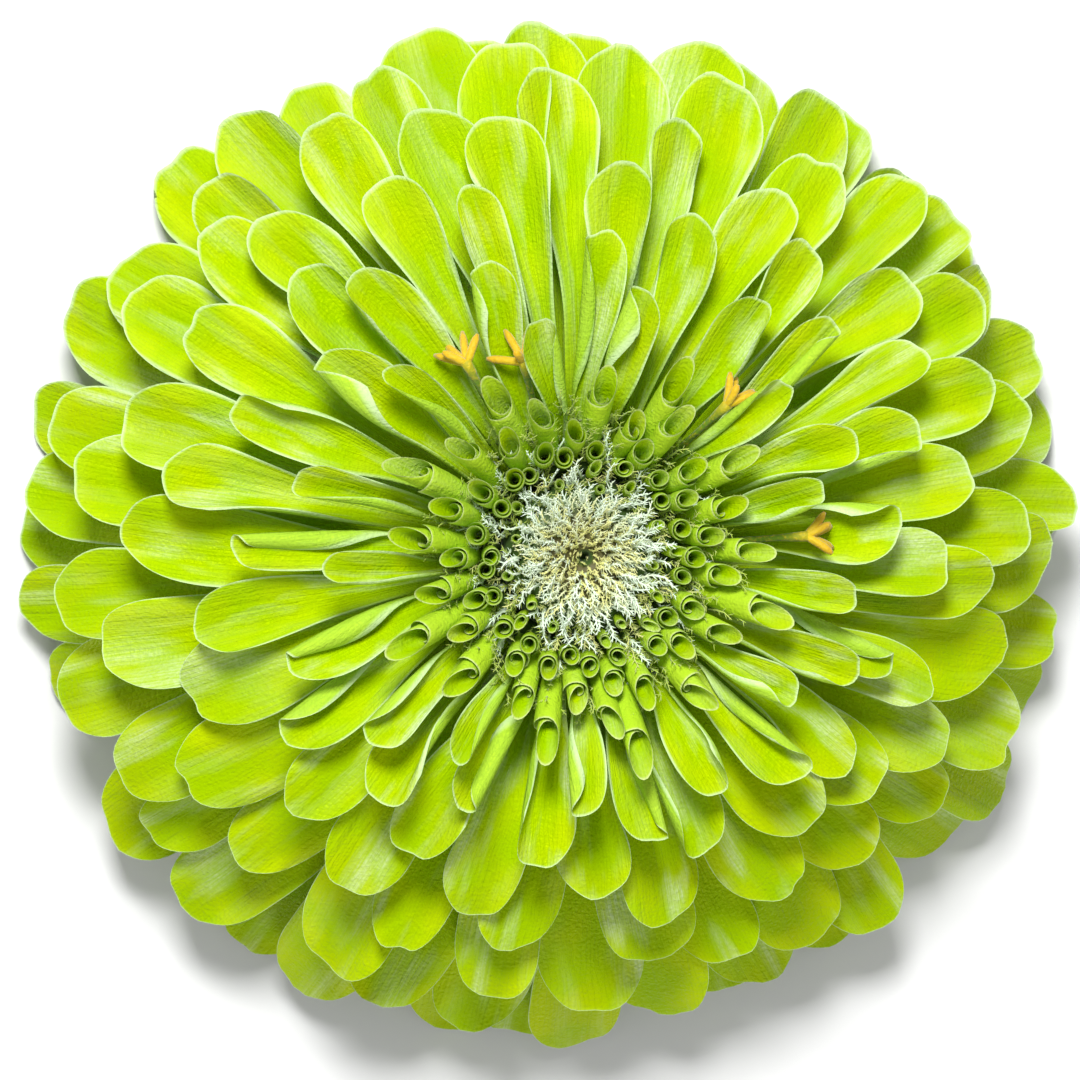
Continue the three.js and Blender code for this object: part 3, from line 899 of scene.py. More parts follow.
@dataclass
class RayPetals:
    """The flat and gutter-shaped ray petals, in spiral layers from the rim to the quills.

    Some more petals, counted by below, go on past the spiral's start, under the others, and close
    the rim. A pair of values runs from the outermost petal to the innermost one, except that the
    spread is a mean and a swing, the fold one for the inner and one for the outer petals, and the
    claw opens from the first share along to the second.
    """

    count: int = 132
    below: int = 19
    below_reach: float = 0.97
    reach: tuple[float, float] = (44.4, 19.6)
    tip_height: tuple[float, float] = (0.25, 34.6)
    root_height: tuple[float, float] = (18.3, 27.4)
    root_radius: float = 8.6
    spread: tuple[float, float] = (1.65, 0.4)
    spread_azimuth: float = 125.0
    oval: float = 0.02
    half_width: tuple[float, float] = (4.15, 2.15)
    claw_share: float = 0.28
    claw_opens: tuple[float, float] = (0.12, 0.8)
    high_claw_opens: tuple[float, float] = (0.32, 0.87)
    waist: float = 0.07
    tip_round: float = 1.35
    tip_power: float = 2.05
    notch: float = 0.09
    waver: float = 0.04
    thickness: float = 0.42
    bend: tuple[float, float] = (46.0, 24.0)
    flick: tuple[float, float] = (16.0, 10.0)
    spoon: float = 24.0
    flick_from: float = 0.68
    root_roll: tuple[float, float] = (70.0, 190.0)
    tip_roll: tuple[float, float] = (50.0, 150.0)
    low_roll: float = 0.65
    high_roll: float = 0.3
    tip_unroll: float = 0.35
    uneven_roll: float = 0.5
    fold: tuple[float, float] = (1.25, 0.35)
    other_fold: float = 0.3
    rim_curl: float = 0.4
    rim_wave: float = 0.06
    ripple: float = 0.9
    swell: float = 0.09
    midrib: float = 0.05
    ribs: float = 0.025
    twist: float = 15.0
    sweep: float = 0.09
    stray: Stray = Stray()
    crinkled_narrow: float = 0.22
    crinkled_twist: float = 1.6
    rows: int = 22
    columns: int = 21

    def forms(self) -> PetalForms:
        """Works out every petal's measures from its share of the spiral, 0 at the rim."""
        n = np.arange(-self.below, self.count, dtype=float)[:, None, None]
        t = np.clip(n / (self.count - 1), 0, 1)
        stray = self.stray
        spiral = n * GOLDEN_ANGLE / DEGREE + stray.azimuth * draw(n, 3)
        azimuth = parted(spiral, smooth(0.78, 0.9, t))
        fall = self.spread[0] + self.spread[1] * np.cos((azimuth - self.spread_azimuth) * DEGREE)
        reach = mix(*self.reach, t**fall) * (1 + stray.reach * draw(n, 1))
        reach = reach * (1 + self.oval * np.cos(2 * azimuth * DEGREE))
        reach = reach * np.where(n < 0, self.below_reach, 1)
        crinkled = self.crinkled(n, t)
        half_width = mix(*self.half_width, t**2.3) * (1 + stray.width * draw(n, 4))
        return PetalForms(
            number=n,
            share=t,
            azimuth=azimuth * DEGREE,
            root=(self.root_radius + 0 * n, mix(*self.root_height, t)),
            tip=(reach, mix(*self.tip_height, t**0.8) + stray.height * (1 + draw(n, 2))),
            half_width=half_width * (1 - self.crinkled_narrow * crinkled),
            bend=mix(*self.bend, t) * DEGREE * (1 + stray.bend * draw(n, 5)),
            flick=mix(*self.flick, t) * DEGREE * (1 + stray.flick * draw(n, 6)),
            root_roll=mix(*self.root_roll, t**3) * DEGREE,
            tip_roll=mix(*self.tip_roll, t**2.8) * DEGREE * (1 + stray.roll * draw(n, 7)),
            twist=self.twist * DEGREE * draw(n, 8) * (1 + self.crinkled_twist * crinkled),
            sweep=self.sweep * draw(n, 9),
        )

    @staticmethod
    def crinkled(n: Array, t: Array) -> Array:
        """How crinkled a petal is, from 0 to 1: a few of the middle layers are wholly so."""
        return smooth(0.7, 0.9, draw(n, 48)) * smooth(0.1, 0.2, t) * (1 - smooth(0.75, 0.85, t))

    @staticmethod
    def sides(form: PetalForms) -> tuple[Array, Array]:
        """How far a petal belongs to the bloom's low side, and to its high side, from 0 to 1."""
        low = smooth(-0.2, 0.9, -np.sin(form.azimuth)) * (1 - smooth(0.5, 0.9, form.share))
        high = smooth(-0.3, 0.8, np.sin(form.azimuth)) * (1 - smooth(0.6, 0.9, form.share))
        return low, high

    def slope(self, form: PetalForms, u: Array) -> Array:
        """The midline's angle above the straight way: a steady bend and an upturned tip.

        Args:
            form: the petals' measures.
            u: the share along.

        Returns:
            The angle in radians: the bend falls straight, the upturn grows as a square.
        """
        upturn = np.maximum(0, (u - self.flick_from) / (1 - self.flick_from)) ** 2
        spoon = self.spoon * DEGREE * smooth(-0.4, 0.9, np.sin(form.azimuth)) * (1 - form.share)
        return form.bend * (0.5 - u) + (form.flick + spoon) * upturn

    def midline(self, form: PetalForms, u: Array) -> tuple[Array, Array]:
        """The midline of a petal of unit length, its direction summed from the root to share u.

        Args:
            form: the petals' measures.
            u: the share along.

        Returns:
            How far outward and how high the midline is at u.
        """
        steps = 12
        x, y = 0.0, 0.0
        for k in range(steps):
            angle = self.slope(form, u * (k + 0.5) / steps)
            x = x + np.cos(angle) * u / steps
            y = y + np.sin(angle) * u / steps
        return x, y

    def outline(self, form: PetalForms, v: Array, length: Array) -> Array:
        """How far along the petal its outline lies at a share across.

        It is a superellipse round the tip, with a notch near the middle and a slow waver.

        Args:
            form: the petals' measures.
            v: the share across, from -1 to 1.
            length: the petals' length.

        Returns:
            The share along at which each column ends, at most 1.
        """
        n = form.number
        start = 1 - self.tip_round * form.half_width / length
        power = self.tip_power + 0.15 * draw(n, 31)
        rounding = (1 - np.abs(v) ** power) ** (1 / power)
        notch = np.maximum(0, draw(n, 32)) * np.exp(-(((v - 0.35 * draw(n, 33)) / 0.22) ** 2))
        waver = np.sin(6 * v + 9 * draw(n, 34)) * (1 - v**2)
        edge = rounding - self.notch * notch + self.waver * waver
        return np.minimum(start + (1 - start) * edge, 1.0)

    def width(self, form: PetalForms, u: Array, v: Array) -> Array:
        """The half width, which opens from the claw to the blade and has slow waists.

        Args:
            form: the petals' measures.
            u: the share along.
            v: the share across, from -1 to 1.

        Returns:
            The half width in mm. On the bloom's high side the claw opens later.
        """
        n, high = form.number, self.sides(form)[1]
        start, stop = (mix(a, b, high) for a, b in zip(self.claw_opens, self.high_claw_opens))
        opened = smooth(0, 1, (u - start) / (stop - start))
        width = form.half_width * mix(self.claw_share, 1.0, opened)
        waist = v * np.sin(7 * u + 6 * draw(n, 51)) + np.sin(5 * u + 6 * draw(n, 52))
        return width * mix(1.0, 1 + self.waist * waist, smooth(0.3, 0.6, u))

    def bank(self, form: PetalForms, u: Array, v: Array) -> Array:
        """The cross-section's slope.

        It is a steady roll, a stronger turn and a fold on one side, and rims that curl up.

        Args:
            form: the petals' measures.
            u: the share along.
            v: the share across, from -1 to 1.

        Returns:
            The slope as an angle, positive where the surface rises to the left.
        """
        n, t = form.number, form.share
        low, high = self.sides(form)
        tip_roll = form.tip_roll * (1 - self.low_roll * low + self.high_roll * high)
        roll = mix(form.root_roll, tip_roll, smooth(0, 0.65, u))
        roll = roll * (1 - self.tip_unroll * smooth(0.75, 1.0, u) * (1 - smooth(0.5, 0.85, t)))
        hand = np.sign(draw(n, 35))
        uneven = self.uneven_roll * hand * smooth(0.5, 0.85, t) * (v**2 - 0.3)
        bank = roll / 2 * (v * (0.6 + 0.55 * v**2) + uneven)
        curl = self.rim_curl * mix(0.35, 1.0, high) * np.sign(v) * smooth(0.6, 1.0, np.abs(v))
        bank = bank + curl * smooth(0.3, 0.6, u) * (1 - smooth(0.7, 0.95, u))
        inner = smooth(0.62, 0.8, t) * (self.fold[0] + 0.9 * draw(n, 36))
        outer = self.fold[1] * (1 + draw(n, 37)) * (1 - low)
        fold = (inner + outer) * (0.8 + 0.6 * np.sin(4.5 * u + 7 * draw(n, 46))) * hand
        bank = bank + fold * smooth(0.0, 0.75, hand * v - 0.12 * draw(n, 47)) * smooth(0.15, 0.7, u)
        other = self.other_fold * draw(n, 38) * smooth(0.55, 1.0, -hand * v) * -hand
        return bank + other * smooth(0.3, 0.9, u)

    def relief(self, form: PetalForms, u: Array, v: Array) -> Array:
        """What stands above the cross-section: waved rims, a slow swell, a midrib and two ribs.

        Args:
            form: the petals' measures.
            u: the share along.
            v: the share across, from -1 to 1.

        Returns:
            The height above the surface, in mm.
        """
        n = form.number
        crinkled = self.crinkled(n, form.share)
        left = np.sin(7.5 * u + 6 * draw(n, 39))
        right = np.sin(8.5 * u + 6 * draw(n, 40))
        ripple = self.ripple * crinkled * np.sin(21 * u + 3 * v + 6 * draw(n, 49))
        waves = (np.where(v < 0, left, right) + ripple) * np.abs(v) ** 2.5
        crimp = 1 + 0.8 * draw(n, 41) + 2.0 * smooth(0.6, 1.0, draw(n, 45)) + 1.2 * crinkled
        swell = self.swell * np.sin(6.5 * u + 5 * draw(n, 43)) * np.cos(2.4 * v + 4 * draw(n, 44))
        ribs = self.ribs * np.cos(3 * math.pi * v) - self.midrib * np.exp(-((v / 0.16) ** 2))
        return form.half_width * smooth(0.3, 0.8, u) * (self.rim_wave * crimp * waves + swell + ribs)

    def surface(self, form: PetalForms) -> tuple[Array, dict[str, Array]]:
        """The petals' middle surfaces on a grid of shares along and across.

        Each column runs from the root to the outline. The cross-section is the sum of its own
        slope from the midrib outward, with the relief on it, turned by the twist, and stands
        square to the midline. The whole petal sweeps sideways as the square of the share along.

        Args:
            form: the petals' measures.

        Returns:
            Points of shape (N, U, V, 3), and the values kept at them.
        """
        v = np.sin(np.linspace(-1, 1, self.columns) * math.pi / 2)[None, None, :]
        s = (1 - (1 - np.linspace(0, 1, self.rows)) ** 1.25)[None, :, None]
        chord = form.tip[0] - form.root[0], form.tip[1] - form.root[1]
        end = self.midline(form, np.ones_like(form.number))
        length = np.hypot(*chord) / np.hypot(*end)
        tilt = np.arctan2(chord[1], chord[0]) - np.arctan2(end[1], end[0])
        u = s * self.outline(form, v, length)
        x, y = self.midline(form, u)
        place_x = length * (x * np.cos(tilt) - y * np.sin(tilt)) + form.root[0]
        place_y = length * (x * np.sin(tilt) + y * np.cos(tilt)) + form.root[1]
        rise = self.slope(form, u) + tilt
        width = self.width(form, u, v)
        bank = self.bank(form, u, v)
        spacing = np.diff(v[0, 0])
        across = from_middle(np.cos(bank), spacing) * width
        above = from_middle(np.sin(bank), spacing) * width + self.relief(form, u, v)
        twist = form.twist * u
        side = across * np.cos(twist) - above * np.sin(twist) + form.sweep * length * u * u
        normal = across * np.sin(twist) + above * np.cos(twist)
        outward, sideways, up = compass(form.azimuth)
        points = (
            outward * (place_x - normal * np.sin(rise))[..., None]
            + up * (place_y + normal * np.cos(rise))[..., None]
            + sideways * side[..., None]
        )
        low, high = self.sides(form)
        to_rim = np.minimum((1 - np.abs(v)) * width, (1 - s) * length)
        # The rim value is stretched on the bloom's low side and shrunk on its high side, so the
        # painted edge light and margin light are wider on the high side.
        to_rim = to_rim * (1 + 2.4 * low - 0.4 * high)
        half = self.thickness / 2 * np.sqrt(1 - np.abs(v) ** 2.5) * (1 - s**8) * mix(1.15, 0.85, u)
        tint = draw(form.number, 42)
        return points, {"along": u, "across": v, "rim": to_rim, "tint": tint, "half": half}

    def build(self, material: bpy.types.Material) -> list[bpy.types.Object]:
        """Makes the lower and the upper half of the petals, as two pieces.

        Args:
            material: the petals' finish.

        Returns:
            The two pieces.
        """
        points, values = self.surface(self.forms())
        half = values.pop("half")
        middle = len(points) // 2
        parts = {"outer_petals": slice(0, middle), "inner_petals": slice(middle, None)}
        made = []
        for name, part in parts.items():
            chosen = {
                key: value[part] if len(value) == len(points) else value
                for key, value in values.items()
            }
            made.append(leaves(points[part], half[part], chosen).piece(name, material))
        return made


@dataclass
class Quills:
    """Young petals still rolled to tubes round the disc, each a scroll with a slanted mouth.

    A pair of values runs from the outermost scroll to the innermost one, except that facing says
    how far a scroll may be turned, and how much further at its root. Foot, flare and bulge are
    shares of the radius.
    """

    name: str = "rolled_petals"
    count: int = 64
    first: int = 132
    reach: tuple[float, float] = (16.6, 7.9)
    tip_height: tuple[float, float] = (34.6, 32.2)
    root_radius: tuple[float, float] = (8.4, 7.7)
    root_height: float = 28.0
    radius: tuple[float, float] = (1.22, 0.74)
    reach_path: float = 1.75
    parts: float = 0.7
    wound: float = 620.0
    inward: float = 0.52
    slant: tuple[float, float] = (1.5, 0.4)
    corner: float = 0.25
    foot: float = 0.62
    flare: float = 0.1
    bulge: float = 0.07
    facing: tuple[float, float] = (0.9, 0.8)
    stray_azimuth: float = 3.0
    stray_reach: float = 0.3
    stray_height: float = 0.4
    stray_side: float = 0.4
    stray_radius: float = 0.06
    thickness: float = 0.26
    rows: int = 14
    columns: int = 33

    def lines(self) -> tuple[Array, Array, Array, Array]:
        """The scrolls' axes, on the golden-angle spiral.

        Returns:
            The roots, the tips and the outward directions, of shape (N, 3), and the radii.
        """
        n = np.arange(self.count, dtype=float)
        t = n / max(self.count - 1, 1)
        spiral = (self.first + n) * GOLDEN_ANGLE / DEGREE + self.stray_azimuth * draw(n, 11)
        azimuth = parted(spiral, self.parts * (1 - smooth(0.15, 0.4, t))) * DEGREE
        outward, sideways, up = compass(azimuth)
        reach = mix(self.reach[1], self.reach[0], (1 - t) ** self.reach_path)
        reach = reach + self.stray_reach * draw(n, 12)
        height = mix(*self.tip_height, t) + self.stray_height * draw(n, 13)
        radius = mix(*self.radius, t**0.8) * (1 + self.stray_radius * draw(n, 14))
        root = outward * mix(*self.root_radius, t)[:, None] + up * self.root_height
        tip = outward * reach[:, None] + up * height[:, None]
        return root, tip + sideways * (self.stray_side * draw(n, 15))[:, None], outward, radius

    def surface(self) -> tuple[Array, dict[str, Array]]:
        """The scrolls' middle surfaces.

        The point at share s along and angle a round is the axis at s, moved by the radius at a,
        which shrinks steadily as the roll winds in. The mouth leans as the cosine of a, and its
        corners draw back as the sixth power of the share across.

        Returns:
            Points of shape (N, U, V, 3), and the values kept at them.
        """
        n = np.arange(self.count, dtype=float)[:, None, None]
        t = n / max(self.count - 1, 1)
        root, tip, outward, radius = (part[:, None, None] for part in self.lines())
        axis = unit(tip - root)
        side = unit(np.cross(axis, outward))
        front = np.cross(side, axis)
        length = np.linalg.norm(tip - root, axis=-1)
        v = np.linspace(-1, 1, self.columns)[None, None, :]
        s = (1 - (1 - np.linspace(0, 1, self.rows)) ** 1.4)[None, :, None]
        angle = v * self.wound / 2 * DEGREE
        facing = self.facing[0] * draw(n, 16) + self.facing[1] * draw(n, 17) * (1 - s)
        hand = np.sign(draw(n, 18))
        lip = mix(*self.slant, t) * np.cos(np.clip(angle, -math.pi, math.pi))
        u = s * (1 + (lip - self.corner * np.abs(v) ** 6) * radius / length)
        swell = mix(self.foot, 1.0, smooth(0, 0.8, s)) * (1 + self.flare * smooth(0.8, 1, s))
        inward = 1 - self.inward * (0.5 + 0.5 * v * hand)
        reach = radius * swell * inward * (1 + self.bulge * draw(n, 19) * np.cos(2 * angle))
        turn = angle + facing
        points = (
            root
            + axis * (length * u)[..., None]
            + front * (reach * np.cos(turn))[..., None]
            + side * (reach * np.sin(turn))[..., None]
        )
        slimmer = 0.5 + 0.5 * radius / self.radius[0]
        values = {
            "along": mix(0.35, 0.8, smooth(0.25, 0.95, s)) + 0 * v,
            "across": v * 0.9,
            "rim": np.minimum((1 - np.abs(v)) * radius * 3.7, (1 - s) * length),
            "tint": draw(n, 20) * 0.9 - 0.1,
            "half": self.thickness / 2 * np.sqrt(1 - v**16) * (1 - s**14) * slimmer,
        }
        return points, values

    def build(self, material: bpy.types.Material) -> bpy.types.Object:
        """Makes all the scrolls as one piece. Their outer face is the petal's back."""
        points, values = self.surface()
        half = values.pop("half")
        return leaves(points, half, values).piece(self.name, material)


YOUNG_QUILLS = Quills(
    name="young_rolled_petals",
    count=17,
    first=196,
    reach=(7.7, 5.7),
    tip_height=(31.9, 32.3),
    root_radius=(6.7, 5.1),
    root_height=29.6,
    radius=(0.54, 0.42),
    reach_path=1.0,
    parts=0.0,
    thickness=0.2,
    rows=8,
    columns=17,
)


# Disc


@dataclass(frozen=True)
class Fringe:
    """Feathery bract tips: a wavy tapering spine with barbs on both sides, leaning outward.

    Ring, lean, length and tone run from the innermost tip to the outermost one. The tapers are
    shares of the thickness.
    """

    count: int
    ring: tuple[float, float]
    lean: tuple[float, float]
    length: tuple[float, float]
    tone: tuple[float, float]
    channel: int
    thickness: float = 0.1
    steps: int = 4
    barbs: int = 8
    barb_length: float = 0.5
    first_lean: float = 0.25
    more_lean: float = 0.95
    wiggle: tuple[float, float] = (0.4, 0.4)
    waves: float = 5.0
    barb_span: tuple[float, float] = (0.3, 0.97)
    barb_spread: float = 0.75
    barb_forward: float = 1.1
    stray_radius: float = 0.15
    stray_azimuth: float = 0.1
    stray_length: float = 0.3
    stray_lean: float = 0.3
    stray_tone: float = 0.25
    spine_taper: tuple[float, ...] = (1.3, 1.2, 1.0, 0.75, 0.3)
    barb_taper: tuple[float, float] = (0.62, 0.12)
    mouth_room: tuple[float, float] = (-1.6, 0.8)

    def free(self, path: Array, scrolls: Sequence[Quills]) -> Array:
        """Which spines stay clear of the rolled petals and of their open mouths.

        Args:
            path: the spines' points, of shape (N, K, 3).
            scrolls: the rolled petals.

        Returns:
            One truth value a spine, false where a point comes within a roll's radius of its axis
            near the mouth.
        """
        kept = np.ones(len(path), dtype=bool)
        for rolls in scrolls:
            root, tip, _, radius = rolls.lines()
            axis = unit(tip - root)
            offset = path[:, :, None] - tip
            foot = np.clip((offset * axis).sum(-1), *self.mouth_room)
            gap = np.linalg.norm(offset - axis * foot[..., None], axis=-1)
            kept &= (gap > radius + self.barb_length * 0.3).all((1, 2))
        return kept

    def build(self, height: Callable[[Array], Array], scrolls: Sequence[Quills]) -> Skin:
        """Makes every bract tip as one skin.

        A spine's direction leans further out at each step, with a sideways wiggle, and its points
        are the running sum of those directions. Barbs leave it at even shares, alternately left
        and right, each a slim three-sided spike.

        Args:
            height: the height of the root at a distance from the axis.
            scrolls: the rolled petals that the tips stay clear of.

        Returns:
            The closed skin, with the values "along" and "tone".
        """
        n = np.arange(self.count, dtype=float)
        c = self.channel
        share = np.sqrt((n + 0.5) / self.count)
        inner, outer = self.ring
        radius = np.sqrt(mix(inner**2, outer**2, share**2)) + self.stray_radius * draw(n, c)
        azimuth = n * GOLDEN_ANGLE + self.stray_azimuth * draw(n, c + 1)
        outward, sideways, up = compass(azimuth)
        root = outward * radius[:, None] + up * height(radius)[:, None]
        length = mix(*self.length, share) * (1 + self.stray_length * draw(n, c + 2))
        step = np.arange(self.steps + 1)[None, :] / self.steps
        lean = mix(*self.lean, share)[:, None] * DEGREE * (self.first_lean + self.more_lean * step)
        lean = lean + self.stray_lean * draw(n, c + 3)[:, None]
        wiggle = self.wiggle[0] * draw(n, c + 4)[:, None]
        wiggle = wiggle + self.wiggle[1] * np.sin(self.waves * step + 7 * draw(n, c + 5)[:, None])
        heading = (
            outward[:, None] * (np.sin(lean) * np.cos(wiggle))[..., None]
            + sideways[:, None] * (np.sin(lean) * np.sin(wiggle) + 0.15 * np.sin(wiggle))[..., None]
            + up[:, None] * np.cos(lean)[..., None]
        )
        moves = heading[:, :-1] * (length / self.steps)[:, None, None]
        path = np.concatenate([root[:, None], root[:, None] + np.cumsum(moves, 1)], 1)
        tone = mix(*self.tone, share)[:, None] + self.stray_tone * draw(n, c + 6)[:, None]
        kept = self.free(path, scrolls)
        parts = (path, heading, sideways, tone, n)
        path, heading, sideways, tone, n = (part[kept] for part in parts)
        spine = tubes(path, self.thickness * np.array(self.spine_taper)[None], 3, {"tone": tone})
        return spine.joined(self.feather(path, heading, sideways, tone, n))

    def feather(self, path: Array, heading: Array, sideways: Array, tone: Array, n: Array) -> Skin:
        """The barbs along the spines.

        Args:
            path: the spines' points, of shape (N, K, 3).
            heading: the spines' directions there.
            sideways: the direction to the left of each spine.
            tone: the spines' tones, of shape (N, 1).
            n: the spines' numbers.

        Returns:
            The closed skin of all barbs.
        """
        k = np.arange(self.barbs)
        at = mix(*self.barb_span, (k + 0.5) / self.barbs) * self.steps
        low = np.minimum(at.astype(int), self.steps - 1)
        rest = (at - low)[None, :, None]
        foot = mix(path[:, low], path[:, low + 1], rest)
        forward = unit(heading[:, low])
        chance = draw(n[:, None] * 17 + k[None], self.channel + 7)
        second = draw(n[:, None] * 13 + k[None], self.channel + 8)
        hand = np.where(k % 2 == 0, 1.0, -1.0)[None, :, None]
        normal = unit(np.cross(forward, np.broadcast_to(sideways[:, None], forward.shape)))
        way = unit(
            forward * self.barb_forward
            + sideways[:, None] * hand * (self.barb_spread + 0.3 * chance)[..., None]
            + normal * (0.5 * second)[..., None]
        )
        reach = (self.barb_length * (1 + 0.4 * chance))[..., None]
        count = foot.shape[0] * foot.shape[1]
        ends = np.stack([foot, foot + way * reach], 2).reshape(count, 2, 3)
        along = np.stack([0.3 + 0.6 * at / self.steps, 0.5 + 0.5 * at / self.steps], -1)
        along = np.tile(along, (foot.shape[0], 1))
        tones = np.repeat(np.repeat(tone, self.barbs, 0), 2, 1)
        radii = self.thickness * np.array(self.barb_taper)[None]
        return tubes(ends, radii, 3, {"along": along, "tone": tones})


@dataclass
class Disc:
    """The disc: a green dome with a dark pit, covered in fringed bracts; the dome's near-black green
    and its dark brown patch are painted shade.
    """

    profile: tuple[tuple[float, float], ...] = (
        (6.6, 28.0),
        (6.55, 28.7),
        (6.3, 29.4),
        (5.7, 30.2),
        (4.8, 30.75),
        (3.6, 31.15),
        (2.4, 31.35),
        (1.0, 31.3),
        (0.5, 31.05),
        (0.36, 30.4),
        (0.2, 29.6),
    )
    outer_height: float = 29.2
    sunk: float = 0.5
    sides: int = 48
    silver: Fringe = Fringe(
        620, (1.0, 8.6), (46, 64), (2.2, 3.7), (0.5, -0.3), 50, thickness=0.12, barb_length=0.48
    )
    centre: Fringe = Fringe(
        380, (0.3, 4.2), (12, 62), (1.3, 2.3), (1.4, 0.5), 70, thickness=0.1, barb_length=0.3
    )
    olive: Fringe = Fringe(640, (5.8, 11.8), (34, 22), (2.6, 4.3), (0.9, 2.1), 90, thickness=0.095)
    tufts: Fringe = Fringe(520, (5.0, 8.8), (48, 42), (1.5, 2.6), (1.5, 2.3), 110, thickness=0.11)

    def root_height(self, radius: Array) -> Array:
        """The height of a bract's root, sunk below the dome's profile at that radius."""
        rings = np.array(self.profile)[::-1]
        return np.interp(radius, rings[:, 0], rings[:, 1], right=self.outer_height) - self.sunk

    def build(self, scrolls: Sequence[Quills]) -> list[bpy.types.Object]:
        """Makes the dome, the silver fringe with its cream centre, and the bracts between quills.

        Args:
            scrolls: the rolled petals round it, which the fringe stays clear of.

        Returns:
            The new pieces.
        """
        dome = turned(self.profile, self.sides)
        radius = np.hypot(dome.points[:, 0], dome.points[:, 1])
        # painted shade: a dark brown patch round the pit, so that the pit reads dark
        dome.values["tone_share"] = (1 - smooth(2.0, 5.0, radius)) * smooth(0.4, 0.9, radius)
        finish = FringeFinish().material()
        made = [dome.piece("disc_dome", DISC_GREEN.material())]
        pairs = {
            "silver_fringe": (self.silver, self.centre),
            "quill_bracts": (self.olive, self.tufts),
        }
        for name, kinds in pairs.items():
            first, second = (kind.build(self.root_height, scrolls) for kind in kinds)
            made.append(first.joined(second).piece(name, finish))
        return made


@dataclass
class Receptacle:
    """The green core that the petals grow from, seen only in the gaps between their claws."""

    profile: tuple[tuple[float, float], ...] = (
        (9.5, 16.0),
        (9.5, 16.3),
        (9.3, 22.0),
        (9.1, 28.0),
        (8.9, 29.1),
        (7.0, 29.1),
        (6.95, 28.05),
    )
    sides: int = 72

    def build(self) -> bpy.types.Object:
        """Makes the core."""
        return turned(self.profile, self.sides).piece("receptacle", CORE_GREEN.material())


# Florets


@dataclass
class Floret:
    """A yellow disc floret: a slim tube that opens in five blunt, velvety lobes.

    Lean and droop are each a mean and how far a draw carries it.
    """

    place: FloretPlace
    number: int
    root_radius: float = 8.9
    root_height: float = 26.6
    tube_radius: float = 0.25
    throat_radius: float = 0.45
    lobes: int = 5
    lobe_length: float = 2.3
    lobe_radius: float = 0.34
    lobe_sunk: float = 0.35
    lobe_lean: tuple[float, float] = (0.9, 0.8)
    lobe_droop: tuple[float, float] = (0.7, 0.6)
    lobe_bend: float = 0.5
    sides: int = 12
    lobe_sides: int = 8

    def build(self, material: bpy.types.Material) -> bpy.types.Object:
        """Makes the tube and its lobes.

        The tube's axis is straight and its radius swells at the throat. A lobe's centre line
        leaves the star at an angle and bends outward as the square of the share along it.

        Args:
            material: the floret's finish.

        Returns:
            The new piece.
        """
        outward, sideways, up = compass(np.array(self.place.azimuth * DEGREE))
        root = outward * self.root_radius + up * self.root_height
        star = outward * self.place.reach + up * self.place.height
        axis = unit(star - root)
        front = np.cross(sideways, axis)
        s = np.linspace(0, 1, 9)[:, None]
        radii = mix(self.tube_radius, self.throat_radius, smooth(0.7, 1.0, s[:, 0]))
        tube = tubes((root + (star - root) * s)[None], radii[None], self.sides, {"tone_share": s.T * 0.45})
        k = np.arange(self.lobes)
        turn = k / self.lobes * TAU
        n = k + self.lobes * self.number
        around = sideways * np.cos(turn)[:, None] - front * np.sin(turn)[:, None]
        droop = self.lobe_droop[0] * (1 + self.lobe_droop[1] * draw(n, 27)[:, None])
        around = around + (outward - up) * droop
        u = np.linspace(0, 1, 8)[None, :, None]
        lean = self.lobe_lean[0] + self.lobe_lean[1] * draw(n, 24)[:, None, None]
        length = self.lobe_length * (1 + 0.12 * draw(n, 25)[:, None, None])
        line = (
            star
            - axis * self.lobe_sunk
            + unit(around[:, None] + axis * lean) * u * length
            + (around[:, None] - axis * 0.7 + front * 0.8) * self.lobe_bend * u**2
        )
        body = self.lobe_radius * np.sqrt(np.clip(1.02 - (1.9 * u[..., 0] - 0.95) ** 4, 0.05, 1))
        lobes = tubes(line, body, self.lobe_sides, {"tone_share": 0.5 + 0.5 * u[..., 0]})
        return tube.joined(lobes).piece(f"floret_{self.number}", material)


# Stem and cup


